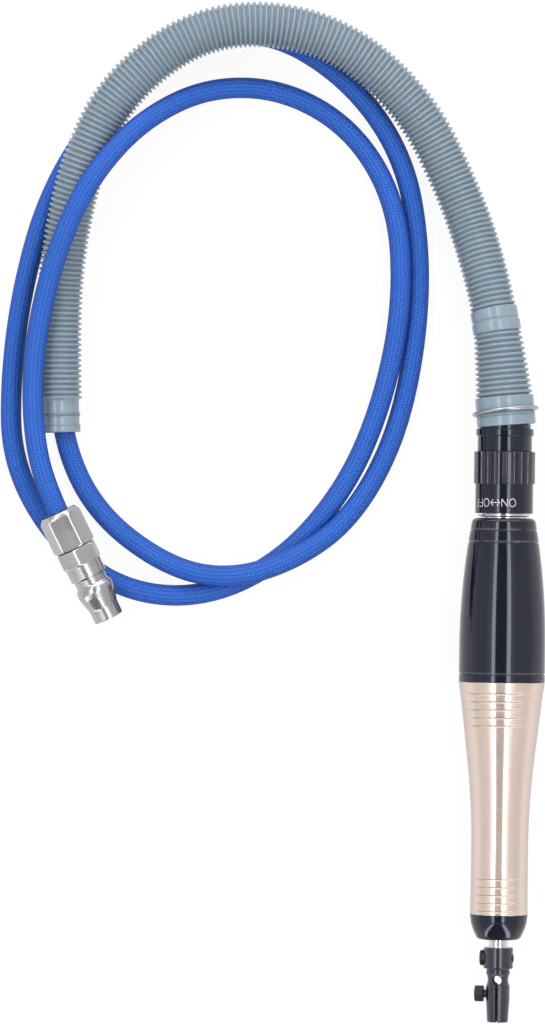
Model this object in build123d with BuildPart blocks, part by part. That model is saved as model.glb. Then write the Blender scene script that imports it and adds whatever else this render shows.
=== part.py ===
from build123d import *
import os
from math import cos, pi, radians, sin, tan

os.makedirs("parts", exist_ok=True)

# Lengths of the handpiece along its axis, from the jaw tip to the end of the hose spigot
HOLDER_LENGTH = 23.3
HOLDER_GAP = 2.6
NOSE_LENGTH = 7.8
GRIP_LENGTH = 72.6
HOUSING_LENGTH = 51.2
NECK_LENGTH = 1.25
RING_LENGTH = 19.35
RING_PLAY = 0.15
CAP_LENGTH = 8.5
SPIGOT_LENGTH = 9.0

# Fits
RUNNING_CLEARANCE = 0.05
SEAL_CLEARANCE = 0.03
EDGE_BREAK = 0.25

# Tool holder: collar on the shaft, necked cross hole and a jaw split down to its tip
HOLDER_TURN = 10.0
COLLAR_DIAMETER = 9.2
COLLAR_LENGTH = 6.5
STEP_DIAMETER = 7.4
STEP_LENGTH = 1.6
JAW_LENGTH = 11.3
JAW_DIAMETER = 7.4
JAW_TAPER_LENGTH = 7.3
JAW_TIP_DIAMETER = 6.5
NECK_WAIST_DIAMETER = 6.4
CROSS_HOLE_DIAMETER = 3.0
CROSS_HOLE_STATION = 13.2
JAW_SLOT_WIDTH = 0.7
SOCKET_DEPTH = 5.9

# Screws of the holder
SCREW_DIAMETER = 2.5
SCREW_SOCKET_WIDTH = 2.0
HOLDER_SCREW_STATION = 20.0
HOLDER_SCREW_HEAD_DIAMETER = 4.9
HOLDER_SCREW_HEAD_HEIGHT = 1.8
HOLDER_SCREW_HEAD_PROUD = 1.1
HOLDER_SCREW_END_PROUD = 0.45
JAW_SCREW_STATION = 8.8
JAW_SCREW_HEAD_DIAMETER = 5.0
JAW_SCREW_HEAD_LENGTH = 2.8
JAW_SCREW_GAP = 0.7
JAW_SCREW_KNURLS = 24
JAW_SCREW_KNURL_DEPTH = 0.15
JAW_SCREW_END_INSET = 0.4

# Shaft, its guides and its stroke
STROKE = 4.0
SHAFT_DIAMETER = 6.0
SHAFT_TAIL_DIAMETER = 4.0
BUSH_DIAMETER = 9.2
FRONT_BUSH_LENGTH = 14.0
BUSH_FLANGE_LENGTH = 2.0
GUIDE_DIAMETER = 14.0
GUIDE_LENGTH = 12.0
GUIDE_PIN_DIAMETER = 2.0
GUIDE_PIN_LENGTH = 10.4
GUIDE_PIN_SETBACK = 5.0
GUIDE_BORE_CLEARANCE = 0.3

# Nose cap and wiper
NOSE_FACE_DIAMETER = 13.3
NOSE_BULGE_DIAMETER = 16.1
NOSE_BULGE_SETBACK = 5.0
NOSE_FACE_ROUND = 0.7
NOSE_SPIGOT_DIAMETER = 14.0
NOSE_SPIGOT_LENGTH = 4.0
NOSE_BORE_CLEARANCE = 0.4
WIPER_DIAMETER = 10.4
WIPER_LENGTH = 6.0

# Grip: an S-shaped flank from the belly to the waist, then a slight swell to the nose
BELLY_DIAMETER = 27.0
GRIP_SHOULDER_DIAMETER = 23.0
GRIP_SHOULDER_SETBACK = 15.8
GRIP_FLANK_DIAMETER = 20.1
GRIP_FLANK_SETBACK = 28.4
WAIST_DIAMETER = 17.8
WAIST_SETBACK = 52.4
GRIP_BACK_SLOPE = 0.15
GRIP_FRONT_DIAMETER = 18.1
GRIP_SPIGOT_WALL = 1.5
GRIP_SPIGOT_LENGTH = 9.0
GROOVE_WIDTH = 0.45
GROOVE_DEPTH = 0.2
GRIP_GROOVE_COUNT = 5
GRIP_GROOVE_PITCH = 2.5
GRIP_FRONT_GROOVE_SETBACK = 1.6
GRIP_BACK_GROOVE_SETBACK = 3.5

# Rear housing: a straight belly, then an arc that falls to the neck
HOUSING_FLAT_LENGTH = 10.6
HOUSING_BACK_DIAMETER = 19.6
HOUSING_BACK_ROUND = 0.8
HOUSING_FRONT_GROOVE_SETBACK = 2.55
HOUSING_BACK_GROOVE_SETBACK = 3.4
HOUSING_BACK_GROOVE_PITCH = 3.8

# Air motor in the chamber that grip and rear housing close between them
CHAMBER_LEAD = 4.0
FRONT_HEAD_THICKNESS = 10.0
REAR_HEAD_THICKNESS = 4.0
HEAD_RIM_LENGTH = 2.0
HEAD_RELIEF_DEPTH = 1.5
HEAD_RELIEF_RIM = 0.7
HEAD_BOSS_DIAMETER = 5.8
FEED_ORIFICE_DIAMETER = 2.0
EXHAUST_SLOT_WIDTH = 3.0
EXHAUST_WAYS = 4
BORE_DIAMETER = 14.0
CYLINDER_WALL = 1.1
EXHAUST_PASSAGE = 1.3
PORT_DIAMETER = 2.0
PORT_COUNT = 6
VENT_SETBACK = 4.0
PISTON_LENGTH = 18.0
PISTON_REST_GAP = 0.2
SPRING_POCKET_DEPTH = 8.0
PISTON_NUT_WIDTH = 7.0
PISTON_NUT_HEIGHT = 2.8
NUT_POCKET_DIAMETER = 8.6
NUT_POCKET_DEPTH = 3.4
RING_GROOVE_DEPTH = 1.0
RING_GROOVE_WIDTH = 1.6
RING_GROOVE_PITCH = 3.0
RING_GROOVE_SETBACK = 5.0
REAR_BUMPER_LENGTH = 1.8
REAR_BUMPER_BORE = 7.0
BUMPER_SIDE_GAP = 0.2
FRONT_BUMPER_GAP = 0.3
SPRING_WIRE_DIAMETER = 1.1
SPRING_MEAN_DIAMETER = 8.6
SPRING_SIDE_GAP = 0.4
SPRING_COILS = 7

# Valve: spindle with two ports, and a ring whose pocket joins them when it is turned on
SPINDLE_SEAT_DIAMETER = 14.4
SPINDLE_SEAT_LENGTH = 11.5
NECK_FLANGE_DIAMETER = 16.2
NECK_GROOVE_LENGTH = 0.5
NECK_CHAMFER = 0.35
JOURNAL_DIAMETER = 13.0
SPINDLE_TAIL_DIAMETER = 11.2
SPINDLE_TAIL_LENGTH = 6.6
AIR_BORE_DIAMETER = 3.2
VALVE_PORT_DIAMETER = 2.5
VALVE_PORT_SPACING = 5.2
EXHAUST_HOLE_DIAMETER = 1.8
EXHAUST_HOLE_CIRCLE = 8.4
SEAL_SECTION = 1.0
SEAL_GROOVE_WIDTH = 1.3
FRONT_SEAL_SETBACK = 2.3
BACK_SEAL_SETBACK = 5.2
VALVE_TURN = 60.0
PORT_ANGLE = 90.0
STOP_PIN_ANGLE = 270.0
RING_BAND_DIAMETER = 18.1
RING_BAND_LENGTH = 9.25
RING_GRIP_DIAMETER = 19.1
FLUTE_COUNT = 23
FLUTE_DIAMETER = 1.2
FLUTE_DEPTH = 0.36
RING_POCKET_DEPTH = 1.0
RING_POCKET_OVERLAP = 0.7
RING_POCKET_ARC = 40.0
STOP_PIN_DIAMETER = 1.5
STOP_PIN_SETBACK = 1.7
STOP_PIN_INNER = 5.3
STOP_PIN_OUTER = 7.5
STOP_SLOT_MARGIN = 1.5
STOP_SLOT_CLEARANCE = 0.3

# Rear cap, inlet and exhaust chamber
CAP_BAND_DIAMETER = 17.0
CAP_BAND_LENGTH = 4.7
CAP_RIM_DIAMETER = 18.0
CAP_RIM_LENGTH = 2.3
CAP_RIM_CHAMFER = 0.35
CAP_RECESS_DIAMETER = 16.2
SPIGOT_DIAMETER = 14.8
EXHAUST_CHAMBER_DIAMETER = 12.8
EXHAUST_CHAMBER_LENGTH = 5.4
EXHAUST_BORE_DIAMETER = 11.2
FELT_LENGTH = 3.0
BARB_THREAD_DIAMETER = 5.2
BARB_THREAD_LENGTH = 8.0
BARB_FLANGE_DIAMETER = 6.3
BARB_FLANGE_LENGTH = 1.5
BARB_LENGTH = 9.3
BARB_BORE_DIAMETER = 2.4
FERRULE_WALL = 0.45
FERRULE_LENGTH = 7.0
FERRULE_SETBACK = 0.6
FELT_CLEARANCE = 0.1

# Exhaust sleeve: plain cuff, tapering ribs, plain double band, long ribbed run and a slim end cuff
SLEEVE_CUFF_DIAMETER = 18.4
SLEEVE_CUFF_LENGTH = 8.8
SLEEVE_BORE = 10.8
SLEEVE_BORE_CONE = 3.0
RIB_PITCH = 1.66
RIB_HEIGHT = 0.95
RIB_SHAPE = ((0.1, 0), (0.3, 1), (0.65, 1), (0.85, 0))
BORE_RIBS_PER_STEP = 3
RIB_DIAMETER = 14.4
TAPER_RIB_DIAMETER = 17.2
TAPER_RIBS = 12
BAND_DIAMETER = 14.9
BAND_LENGTH = 7.6
BAND_GROOVE_WIDTH = 1.0
BAND_GROOVE_DEPTH = 0.4
END_CUFF_DIAMETER = 12.4
END_CUFF_LENGTH = 9.7
END_CUFF_BORE = 10.0
CLAMP_WIRE_DIAMETER = 1.2
CLAMP_PITCH = 1.66
CLAMP_TURNS = 1.3
CLAMP_STATION = 4.8

# Air hose and the plug on its end
HOSE_DIAMETER = 6.5
HOSE_BORE = 4.0
HOSE_SAG = 0.6
RUN_SHARE = 0.45
GAP_STEP = 2.0
GAP_APART = 6
HOSE_GRIP = 8.5
PLUG_NUT_WIDTH = 12.0
PLUG_TURN = 10
PLUG_NUT_LENGTH = 12.1
PLUG_NUT_CHAMFER = 1.4
PLUG_NUT_LIP = 3.0
PLUG_THREAD_DIAMETER = 8.8
OLIVE_LENGTH = 4.0
PLUG_GAP = 0.3
PLUG_HEX_WIDTH = 12.0
PLUG_HEX_LENGTH = 5.4
PLUG_HEX_CHAMFER = 0.7
PLUG_HEX_TURN = 30
PLUG_COLLAR_DIAMETER = 11.6
PLUG_COLLAR_LENGTH = 4.6
PLUG_GROOVE_DIAMETER = 10.2
PLUG_GROOVE_LENGTH = 2.4
PLUG_BULGE_DIAMETER = 12.0
PLUG_BULGE_LENGTH = 4.2
PLUG_TAPER_LENGTH = 3.6
PLUG_TIP_DIAMETER = 9.4
PLUG_TIP_LENGTH = 4.2
PLUG_BORE = 3.9
PLUG_TAIL_LENGTH = 7.0

# Stations along the axis, with the origin under the middle of the handpiece
handpiece_length = (
    HOLDER_LENGTH + HOLDER_GAP + NOSE_LENGTH + GRIP_LENGTH + HOUSING_LENGTH
    + NECK_LENGTH + RING_LENGTH + 2 * RING_PLAY + CAP_LENGTH + SPIGOT_LENGTH
)
tip = -handpiece_length / 2
holder_back = tip + HOLDER_LENGTH
nose_front = holder_back + HOLDER_GAP
grip_front = nose_front + NOSE_LENGTH
joint = grip_front + GRIP_LENGTH
housing_back = joint + HOUSING_LENGTH
journal_front = housing_back + NECK_LENGTH
ring_front = journal_front + RING_PLAY
ring_back = ring_front + RING_LENGTH
cap_front = ring_back + RING_PLAY
cap_back = cap_front + CAP_LENGTH
spigot_back = cap_back + SPIGOT_LENGTH

chamber_front = joint - CHAMBER_LEAD
chamber_back = housing_back - SPINDLE_SEAT_LENGTH
cylinder_front = chamber_front + FRONT_HEAD_THICKNESS
cylinder_back = chamber_back - REAR_HEAD_THICKNESS
piston_back = cylinder_back - REAR_BUMPER_LENGTH - PISTON_REST_GAP
piston_front = piston_back - PISTON_LENGTH
spring_seat = piston_front + SPRING_POCKET_DEPTH
nut_seat = piston_back - NUT_POCKET_DEPTH
guide_front = chamber_front - GUIDE_LENGTH
bush_flange_front = grip_front + NOSE_SPIGOT_LENGTH
bush_seat = bush_flange_front + BUSH_FLANGE_LENGTH
spindle_back = cap_front + SPINDLE_TAIL_LENGTH
barb_back = spindle_back + BARB_FLANGE_LENGTH
exhaust_chamber_back = spindle_back + EXHAUST_CHAMBER_LENGTH

cylinder_diameter = BORE_DIAMETER + 2 * CYLINDER_WALL
chamber_diameter = cylinder_diameter + 2 * EXHAUST_PASSAGE
grip_spigot_diameter = chamber_diameter + 2 * GRIP_SPIGOT_WALL
spring_pocket = SPRING_MEAN_DIAMETER + SPRING_WIRE_DIAMETER + 2 * SPRING_SIDE_GAP

axis_height = BELLY_DIAMETER / 2
tool_axis = Axis((0, 0, axis_height), (0, 1, 0))


def outward(angle):
    """Direction square to the tool's axis, at an angle from +X towards +Z."""
    return Vector(cos(radians(angle)), 0, sin(radians(angle)))


def section_plane(angle=90):
    """Plane through the tool's axis: x runs back along the axis, y outwards at the angle."""
    back = Vector(0, 1, 0)
    return Plane(origin=(0, 0, axis_height), x_dir=back, z_dir=back.cross(outward(angle)))


def radial_plane(station, angle):
    """Plane that starts on the axis at a station and faces outwards at the angle."""
    return Plane(origin=(0, station, axis_height), x_dir=(0, 1, 0), z_dir=outward(angle))


def cross_plane(station):
    """Plane square to the axis at a station, facing back."""
    return Plane(origin=(0, station, axis_height), x_dir=(1, 0, 0), z_dir=(0, 1, 0))


def strip(start, end, inner_diameter, outer_diameter, mode=Mode.ADD):
    """Part of a turned section between two stations and two diameters."""
    with Locations(((start + end) / 2, (inner_diameter + outer_diameter) / 4)):
        Rectangle(end - start, (outer_diameter - inner_diameter) / 2, mode=mode)


def edge_cut(station, diameter, inwards):
    """Bevel at a corner of a turned section; inwards is 1 where the piece lies behind it, else -1."""
    reach = 2 * EDGE_BREAK
    radius = diameter / 2
    Polygon(
        (station - inwards * EDGE_BREAK, radius - reach),
        (station + inwards * reach, radius + EDGE_BREAK),
        (station - inwards * EDGE_BREAK, radius + EDGE_BREAK),
        align=None,
        mode=Mode.SUBTRACT,
    )


def rim(piece, station):
    """The largest circular edge of a piece at a station."""
    near = piece.edges().filter_by(GeomType.CIRCLE).filter_by_position(
        Axis.Y, station - SEAL_CLEARANCE, station + SEAL_CLEARANCE
    )
    return near.sort_by(SortBy.RADIUS)[-1]


def o_ring(station, mean_diameter, section):
    """Round section of a seal, to be turned about the axis."""
    with Locations((station, mean_diameter / 2)):
        Circle(section / 2 - SEAL_CLEARANCE)


def save(piece, name):
    """Label a finished piece and write it."""
    piece.part.label = name
    export_step(piece.part, f"parts/{name}.step")


# Tool holder, turned, then slotted, cross drilled and bored for the shaft
hole_angle = 90 + HOLDER_TURN
head_angle = 180 + HOLDER_TURN
cross_hole = tip + CROSS_HOLE_STATION
holder_screw_station = tip + HOLDER_SCREW_STATION
jaw_screw_station = tip + JAW_SCREW_STATION
collar_front = holder_back - COLLAR_LENGTH
holder_screw_seat = COLLAR_DIAMETER / 2 + HOLDER_SCREW_HEAD_PROUD - HOLDER_SCREW_HEAD_HEIGHT

with BuildPart() as tool_holder:
    with BuildSketch(section_plane()):
        with BuildLine():
            jaw = Polyline(
                (tip, 0),
                (tip, JAW_TIP_DIAMETER / 2 - EDGE_BREAK),
                (tip + EDGE_BREAK, JAW_TIP_DIAMETER / 2),
                (tip + JAW_TAPER_LENGTH, JAW_DIAMETER / 2),
                (tip + JAW_LENGTH, JAW_DIAMETER / 2),
            )
            waist = ThreePointArc(
                jaw @ 1,
                (cross_hole, NECK_WAIST_DIAMETER / 2),
                (collar_front - STEP_LENGTH, STEP_DIAMETER / 2),
            )
            Polyline(
                waist @ 1,
                (collar_front, STEP_DIAMETER / 2),
                (collar_front, COLLAR_DIAMETER / 2 - EDGE_BREAK),
                (collar_front + EDGE_BREAK, COLLAR_DIAMETER / 2),
                (holder_back - EDGE_BREAK, COLLAR_DIAMETER / 2),
                (holder_back, COLLAR_DIAMETER / 2 - EDGE_BREAK),
                (holder_back, 0),
                (tip, 0),
            )
        make_face()
        strip(holder_back - SOCKET_DEPTH, holder_back, 0, SHAFT_DIAMETER, Mode.SUBTRACT)
    revolve(axis=tool_axis)
    with BuildSketch(radial_plane(cross_hole, hole_angle)):
        Circle(CROSS_HOLE_DIAMETER / 2)
        with Locations(((tip - cross_hole) / 2, 0)):
            Rectangle(cross_hole - tip, JAW_SLOT_WIDTH)
    extrude(amount=COLLAR_DIAMETER, both=True, mode=Mode.SUBTRACT)
    with BuildSketch(radial_plane(holder_screw_station, head_angle)):
        Circle(SCREW_DIAMETER / 2)
    extrude(amount=COLLAR_DIAMETER, both=True, mode=Mode.SUBTRACT)
    with BuildSketch(radial_plane(holder_screw_station, head_angle).offset(holder_screw_seat)):
        Circle(HOLDER_SCREW_HEAD_DIAMETER / 2 + RUNNING_CLEARANCE)
    extrude(amount=COLLAR_DIAMETER, mode=Mode.SUBTRACT)
    with BuildSketch(radial_plane(jaw_screw_station, head_angle)):
        Circle(SCREW_DIAMETER / 2 + RUNNING_CLEARANCE)
    extrude(amount=COLLAR_DIAMETER, both=True, mode=Mode.SUBTRACT)
save(tool_holder, "tool_holder")

with BuildPart() as holder_screw:
    screw_end = COLLAR_DIAMETER / 2 + HOLDER_SCREW_END_PROUD
    with BuildSketch(radial_plane(holder_screw_station, head_angle).offset(-screw_end)):
        Circle(SCREW_DIAMETER / 2)
    extrude(amount=screw_end + holder_screw_seat)
    chamfer(holder_screw.edges().filter_by(GeomType.CIRCLE).sort_by(Axis.X)[-1], EDGE_BREAK)
    with BuildSketch(radial_plane(holder_screw_station, head_angle).offset(holder_screw_seat)):
        Circle(HOLDER_SCREW_HEAD_DIAMETER / 2)
    extrude(amount=HOLDER_SCREW_HEAD_HEIGHT)
    chamfer(holder_screw.edges().filter_by(GeomType.CIRCLE).sort_by(Axis.X)[0], 2 * EDGE_BREAK)
    socket_floor = holder_screw_seat + HOLDER_SCREW_HEAD_HEIGHT / 2
    with BuildSketch(radial_plane(holder_screw_station, head_angle).offset(socket_floor)):
        RegularPolygon(SCREW_SOCKET_WIDTH / 2, 6, major_radius=False)
    extrude(amount=HOLDER_SCREW_HEAD_HEIGHT, mode=Mode.SUBTRACT)
save(holder_screw, "holder_screw")

with BuildPart() as jaw_screw:
    jaw_screw_end = JAW_DIAMETER / 2 - JAW_SCREW_END_INSET
    head_start = JAW_DIAMETER / 2 + JAW_SCREW_GAP
    with BuildSketch(radial_plane(jaw_screw_station, head_angle).offset(-jaw_screw_end)):
        Circle(SCREW_DIAMETER / 2)
    extrude(amount=jaw_screw_end + head_start)
    with BuildSketch(radial_plane(jaw_screw_station, head_angle).offset(head_start)):
        Circle(JAW_SCREW_HEAD_DIAMETER / 2)
        with PolarLocations(JAW_SCREW_HEAD_DIAMETER / 2, JAW_SCREW_KNURLS):
            Circle(JAW_SCREW_KNURL_DEPTH, mode=Mode.SUBTRACT)
    extrude(amount=JAW_SCREW_HEAD_LENGTH)
    jaw_socket_floor = head_start + JAW_SCREW_HEAD_LENGTH / 2
    with BuildSketch(radial_plane(jaw_screw_station, head_angle).offset(jaw_socket_floor)):
        RegularPolygon(SCREW_SOCKET_WIDTH / 2, 6, major_radius=False)
    extrude(amount=JAW_SCREW_HEAD_LENGTH, mode=Mode.SUBTRACT)
save(jaw_screw, "jaw_screw")

# Output shaft with its tail for the piston, and the pin that keeps it from turning
shaft_front = holder_back - SOCKET_DEPTH
guide_pin_station = chamber_front - GUIDE_PIN_SETBACK

with BuildPart() as output_shaft:
    with BuildSketch(section_plane()):
        strip(shaft_front, spring_seat, 0, SHAFT_DIAMETER)
        strip(spring_seat, nut_seat + PISTON_NUT_HEIGHT, 0, SHAFT_TAIL_DIAMETER)
    revolve(axis=tool_axis)
    with BuildSketch(radial_plane(holder_screw_station, head_angle)):
        Circle(SCREW_DIAMETER / 2)
    extrude(amount=SHAFT_DIAMETER, both=True, mode=Mode.SUBTRACT)
    with BuildSketch(radial_plane(guide_pin_station, 0)):
        Circle(GUIDE_PIN_DIAMETER / 2)
    extrude(amount=SHAFT_DIAMETER, both=True, mode=Mode.SUBTRACT)
save(output_shaft, "output_shaft")

with BuildPart() as guide_pin:
    with BuildSketch(radial_plane(guide_pin_station, 0)):
        Circle(GUIDE_PIN_DIAMETER / 2)
    extrude(amount=GUIDE_PIN_LENGTH / 2, both=True)
save(guide_pin, "guide_pin")

# Piston: a cup that holds the spring in front and the nut behind, with two ring grooves
ring_stations = [piston_back - RING_GROOVE_SETBACK - turn * RING_GROOVE_PITCH for turn in range(2)]
piston_diameter = BORE_DIAMETER - 2 * RUNNING_CLEARANCE
ring_groove_floor = piston_diameter - 2 * RING_GROOVE_DEPTH

with BuildPart() as piston:
    with BuildSketch(section_plane()):
        strip(piston_front, piston_back, SHAFT_TAIL_DIAMETER, piston_diameter)
        strip(piston_front, spring_seat, 0, spring_pocket, Mode.SUBTRACT)
        strip(nut_seat, piston_back, 0, NUT_POCKET_DIAMETER, Mode.SUBTRACT)
        for station in ring_stations:
            groove_half = RING_GROOVE_WIDTH / 2
            strip(station - groove_half, station + groove_half,
                  ring_groove_floor, BORE_DIAMETER, Mode.SUBTRACT)
    revolve(axis=tool_axis)
save(piston, "piston")

with BuildPart() as piston_rings:
    with BuildSketch(section_plane()):
        for station in ring_stations:
            ring_half = RING_GROOVE_WIDTH / 2 - SEAL_CLEARANCE
            ring_outside = BORE_DIAMETER - 2 * SEAL_CLEARANCE
            ring_inside = ring_groove_floor + 2 * SEAL_CLEARANCE
            strip(station - ring_half, station + ring_half, ring_inside, ring_outside)
    revolve(axis=tool_axis)
save(piston_rings, "piston_rings")

with BuildPart() as piston_nut:
    with BuildSketch(cross_plane(nut_seat)):
        RegularPolygon(PISTON_NUT_WIDTH / 2, 6, major_radius=False)
        Circle(SHAFT_TAIL_DIAMETER / 2, mode=Mode.SUBTRACT)
    extrude(amount=PISTON_NUT_HEIGHT)
save(piston_nut, "piston_nut")

# Nose cap, a turned bowl screwed into the grip, with the wiper in it and the bush behind it
with BuildPart() as nose_cap:
    with BuildSketch(section_plane()):
        with BuildLine():
            bowl = ThreePointArc(
                (grip_front, GRIP_FRONT_DIAMETER / 2),
                (grip_front - NOSE_BULGE_SETBACK, NOSE_BULGE_DIAMETER / 2),
                (nose_front, NOSE_FACE_DIAMETER / 2),
            )
            Polyline(bowl @ 1, (nose_front, 0), (grip_front, 0), bowl @ 0)
        make_face()
        strip(grip_front, bush_flange_front, 0, NOSE_SPIGOT_DIAMETER)
        shaft_hole = SHAFT_DIAMETER + 2 * NOSE_BORE_CLEARANCE
        strip(nose_front, bush_flange_front, 0, shaft_hole, Mode.SUBTRACT)
        strip(bush_flange_front - WIPER_LENGTH, bush_flange_front, 0, WIPER_DIAMETER, Mode.SUBTRACT)
    revolve(axis=tool_axis)
    fillet(rim(nose_cap, nose_front), NOSE_FACE_ROUND)
save(nose_cap, "nose_cap")

running_bore = SHAFT_DIAMETER + 2 * RUNNING_CLEARANCE

with BuildPart() as shaft_wiper:
    with BuildSketch(section_plane()):
        strip(bush_flange_front - WIPER_LENGTH, bush_flange_front, running_bore, WIPER_DIAMETER)
    revolve(axis=tool_axis)
save(shaft_wiper, "shaft_wiper")

with BuildPart() as front_bush:
    with BuildSketch(section_plane()):
        strip(bush_flange_front, bush_seat, running_bore, NOSE_SPIGOT_DIAMETER)
        strip(bush_seat, bush_seat + FRONT_BUSH_LENGTH, running_bore, BUSH_DIAMETER)
    revolve(axis=tool_axis)
save(front_bush, "front_bush")


# Grip: anodised shell with two groups of turned grooves and a spigot that enters the rear housing
def grip_outline(inset):
    """Flank of the grip, drawn in by the inset, and closed along the axis."""
    with BuildLine() as outline:
        flank = Spline(
            (joint, BELLY_DIAMETER / 2 - inset),
            (joint - GRIP_SHOULDER_SETBACK, GRIP_SHOULDER_DIAMETER / 2 - inset),
            (joint - GRIP_FLANK_SETBACK, GRIP_FLANK_DIAMETER / 2 - inset),
            (joint - WAIST_SETBACK, WAIST_DIAMETER / 2 - inset),
            tangents=((-1, -GRIP_BACK_SLOPE), (-1, 0)),
        )
        swell = TangentArc(flank @ 1, (grip_front, GRIP_FRONT_DIAMETER / 2 - inset), tangent=(-1, 0))
        Polyline(swell @ 1, (grip_front, 0), (joint, 0), flank @ 0)
    make_face(outline.edges())


def grooves(stations):
    """Slots across a turned section, one for each station."""
    for station in stations:
        strip(station - GROOVE_WIDTH / 2, station + GROOVE_WIDTH / 2, 0, 2 * BELLY_DIAMETER, Mode.SUBTRACT)


grip_grooves = []
for turn in range(GRIP_GROOVE_COUNT):
    grip_grooves.append(grip_front + GRIP_FRONT_GROOVE_SETBACK + turn * GRIP_GROOVE_PITCH)
    grip_grooves.append(joint - GRIP_BACK_GROOVE_SETBACK - turn * GRIP_GROOVE_PITCH)
grip_spigot_back = joint + GRIP_SPIGOT_LENGTH
joint_seal_station = joint + GRIP_SPIGOT_LENGTH / 2
joint_groove_floor = grip_spigot_diameter - 2 * SEAL_SECTION

with BuildPart() as front_housing:
    with BuildSketch(section_plane()):
        grip_outline(0)
        grooves(grip_grooves)
        grip_outline(GROOVE_DEPTH)
        strip(joint, grip_spigot_back, 0, grip_spigot_diameter)
        seal_half = SEAL_GROOVE_WIDTH / 2
        strip(joint_seal_station - seal_half, joint_seal_station + seal_half,
              joint_groove_floor, BELLY_DIAMETER, Mode.SUBTRACT)
        strip(chamber_front, grip_spigot_back, 0, chamber_diameter, Mode.SUBTRACT)
        strip(guide_front, chamber_front, 0, GUIDE_DIAMETER, Mode.SUBTRACT)
        strip(bush_seat, guide_front, 0, BUSH_DIAMETER, Mode.SUBTRACT)
        strip(grip_front, bush_seat, 0, NOSE_SPIGOT_DIAMETER, Mode.SUBTRACT)
        edge_cut(grip_front, GRIP_FRONT_DIAMETER, 1)
        edge_cut(joint, BELLY_DIAMETER, -1)
    revolve(axis=tool_axis)
save(front_housing, "front_housing")

with BuildPart() as joint_seal:
    with BuildSketch(section_plane()):
        o_ring(joint_seal_station, grip_spigot_diameter - SEAL_SECTION, SEAL_SECTION)
    revolve(axis=tool_axis)
save(joint_seal, "joint_seal")

# Guide with two keyways for the pin, pressed into the grip behind the long bore
with BuildPart() as slotted_guide:
    with BuildSketch(cross_plane(guide_front)):
        Circle(GUIDE_DIAMETER / 2)
        Circle(SHAFT_DIAMETER / 2 + GUIDE_BORE_CLEARANCE, mode=Mode.SUBTRACT)
        keyway_span = GUIDE_PIN_LENGTH + 2 * GUIDE_BORE_CLEARANCE
        Rectangle(keyway_span, GUIDE_PIN_DIAMETER + 2 * RUNNING_CLEARANCE, mode=Mode.SUBTRACT)
    extrude(amount=GUIDE_LENGTH)
save(slotted_guide, "slotted_guide")

# Cylinder between its two heads, with exhaust ports that the piston uncovers and front vents
port_station = piston_back - STROKE + PORT_DIAMETER / 2
vent_station = cylinder_front + VENT_SETBACK
port_step = 360 / PORT_COUNT

with BuildPart() as cylinder:
    with BuildSketch(section_plane()):
        strip(cylinder_front, cylinder_back, BORE_DIAMETER, cylinder_diameter)
    revolve(axis=tool_axis)
    for port in range(PORT_COUNT):
        for station in (port_station, vent_station):
            with BuildSketch(radial_plane(station, port * port_step)):
                Circle(PORT_DIAMETER / 2)
            extrude(amount=cylinder_diameter, mode=Mode.SUBTRACT)
save(cylinder, "cylinder")

with BuildPart() as front_head:
    with BuildSketch(section_plane()):
        strip(chamber_front, cylinder_front, BUSH_DIAMETER, chamber_diameter)
        strip(cylinder_front, cylinder_front + HEAD_RIM_LENGTH, cylinder_diameter, chamber_diameter)
    revolve(axis=tool_axis)
save(front_head, "front_head")

with BuildPart() as head_bush:
    with BuildSketch(section_plane()):
        strip(chamber_front, cylinder_front, running_bore, BUSH_DIAMETER)
    revolve(axis=tool_axis)
save(head_bush, "head_bush")

with BuildPart() as rear_head:
    with BuildSketch(section_plane()):
        strip(cylinder_back, chamber_back, FEED_ORIFICE_DIAMETER, chamber_diameter)
        strip(cylinder_back - HEAD_RIM_LENGTH, cylinder_back, cylinder_diameter, chamber_diameter)
        strip(chamber_back - HEAD_RELIEF_DEPTH, chamber_back,
              HEAD_BOSS_DIAMETER, chamber_diameter - 2 * HEAD_RELIEF_RIM, Mode.SUBTRACT)
    revolve(axis=tool_axis)
    with BuildSketch(cross_plane(cylinder_back - HEAD_RIM_LENGTH)):
        with PolarLocations(chamber_diameter / 2, EXHAUST_WAYS):
            Rectangle(chamber_diameter - cylinder_diameter, EXHAUST_SLOT_WIDTH)
    extrude(amount=HEAD_RIM_LENGTH + REAR_HEAD_THICKNESS, mode=Mode.SUBTRACT)
save(rear_head, "rear_head")

bumper_outside = BORE_DIAMETER - 2 * BUMPER_SIDE_GAP

with BuildPart() as rear_bumper:
    with BuildSketch(section_plane()):
        strip(cylinder_back - REAR_BUMPER_LENGTH, cylinder_back, REAR_BUMPER_BORE, bumper_outside)
    revolve(axis=tool_axis)
save(rear_bumper, "rear_bumper")

with BuildPart() as front_bumper:
    with BuildSketch(section_plane()):
        strip(cylinder_front, piston_front - STROKE - FRONT_BUMPER_GAP, spring_pocket, bumper_outside)
    revolve(axis=tool_axis)
save(front_bumper, "front_bumper")


# Return spring between the front head and the piston's cup
spring_pitch = (spring_seat - cylinder_front - SPRING_WIRE_DIAMETER) / SPRING_COILS
spring_start = cylinder_front + SPRING_WIRE_DIAMETER / 2

with BuildPart() as return_spring:
    with BuildLine():
        spring_line = Helix(
            pitch=spring_pitch,
            height=spring_pitch * SPRING_COILS,
            radius=SPRING_MEAN_DIAMETER / 2,
            center=(0, spring_start, axis_height),
            direction=(0, 1, 0),
        )
    with BuildSketch(Plane(origin=spring_line @ 0, z_dir=spring_line % 0)):
        Circle(SPRING_WIRE_DIAMETER / 2)
    sweep(path=spring_line, is_frenet=True)
save(return_spring, "return_spring")
print("return spring, gap between its coils", round(spring_pitch - SPRING_WIRE_DIAMETER, 2))


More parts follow.
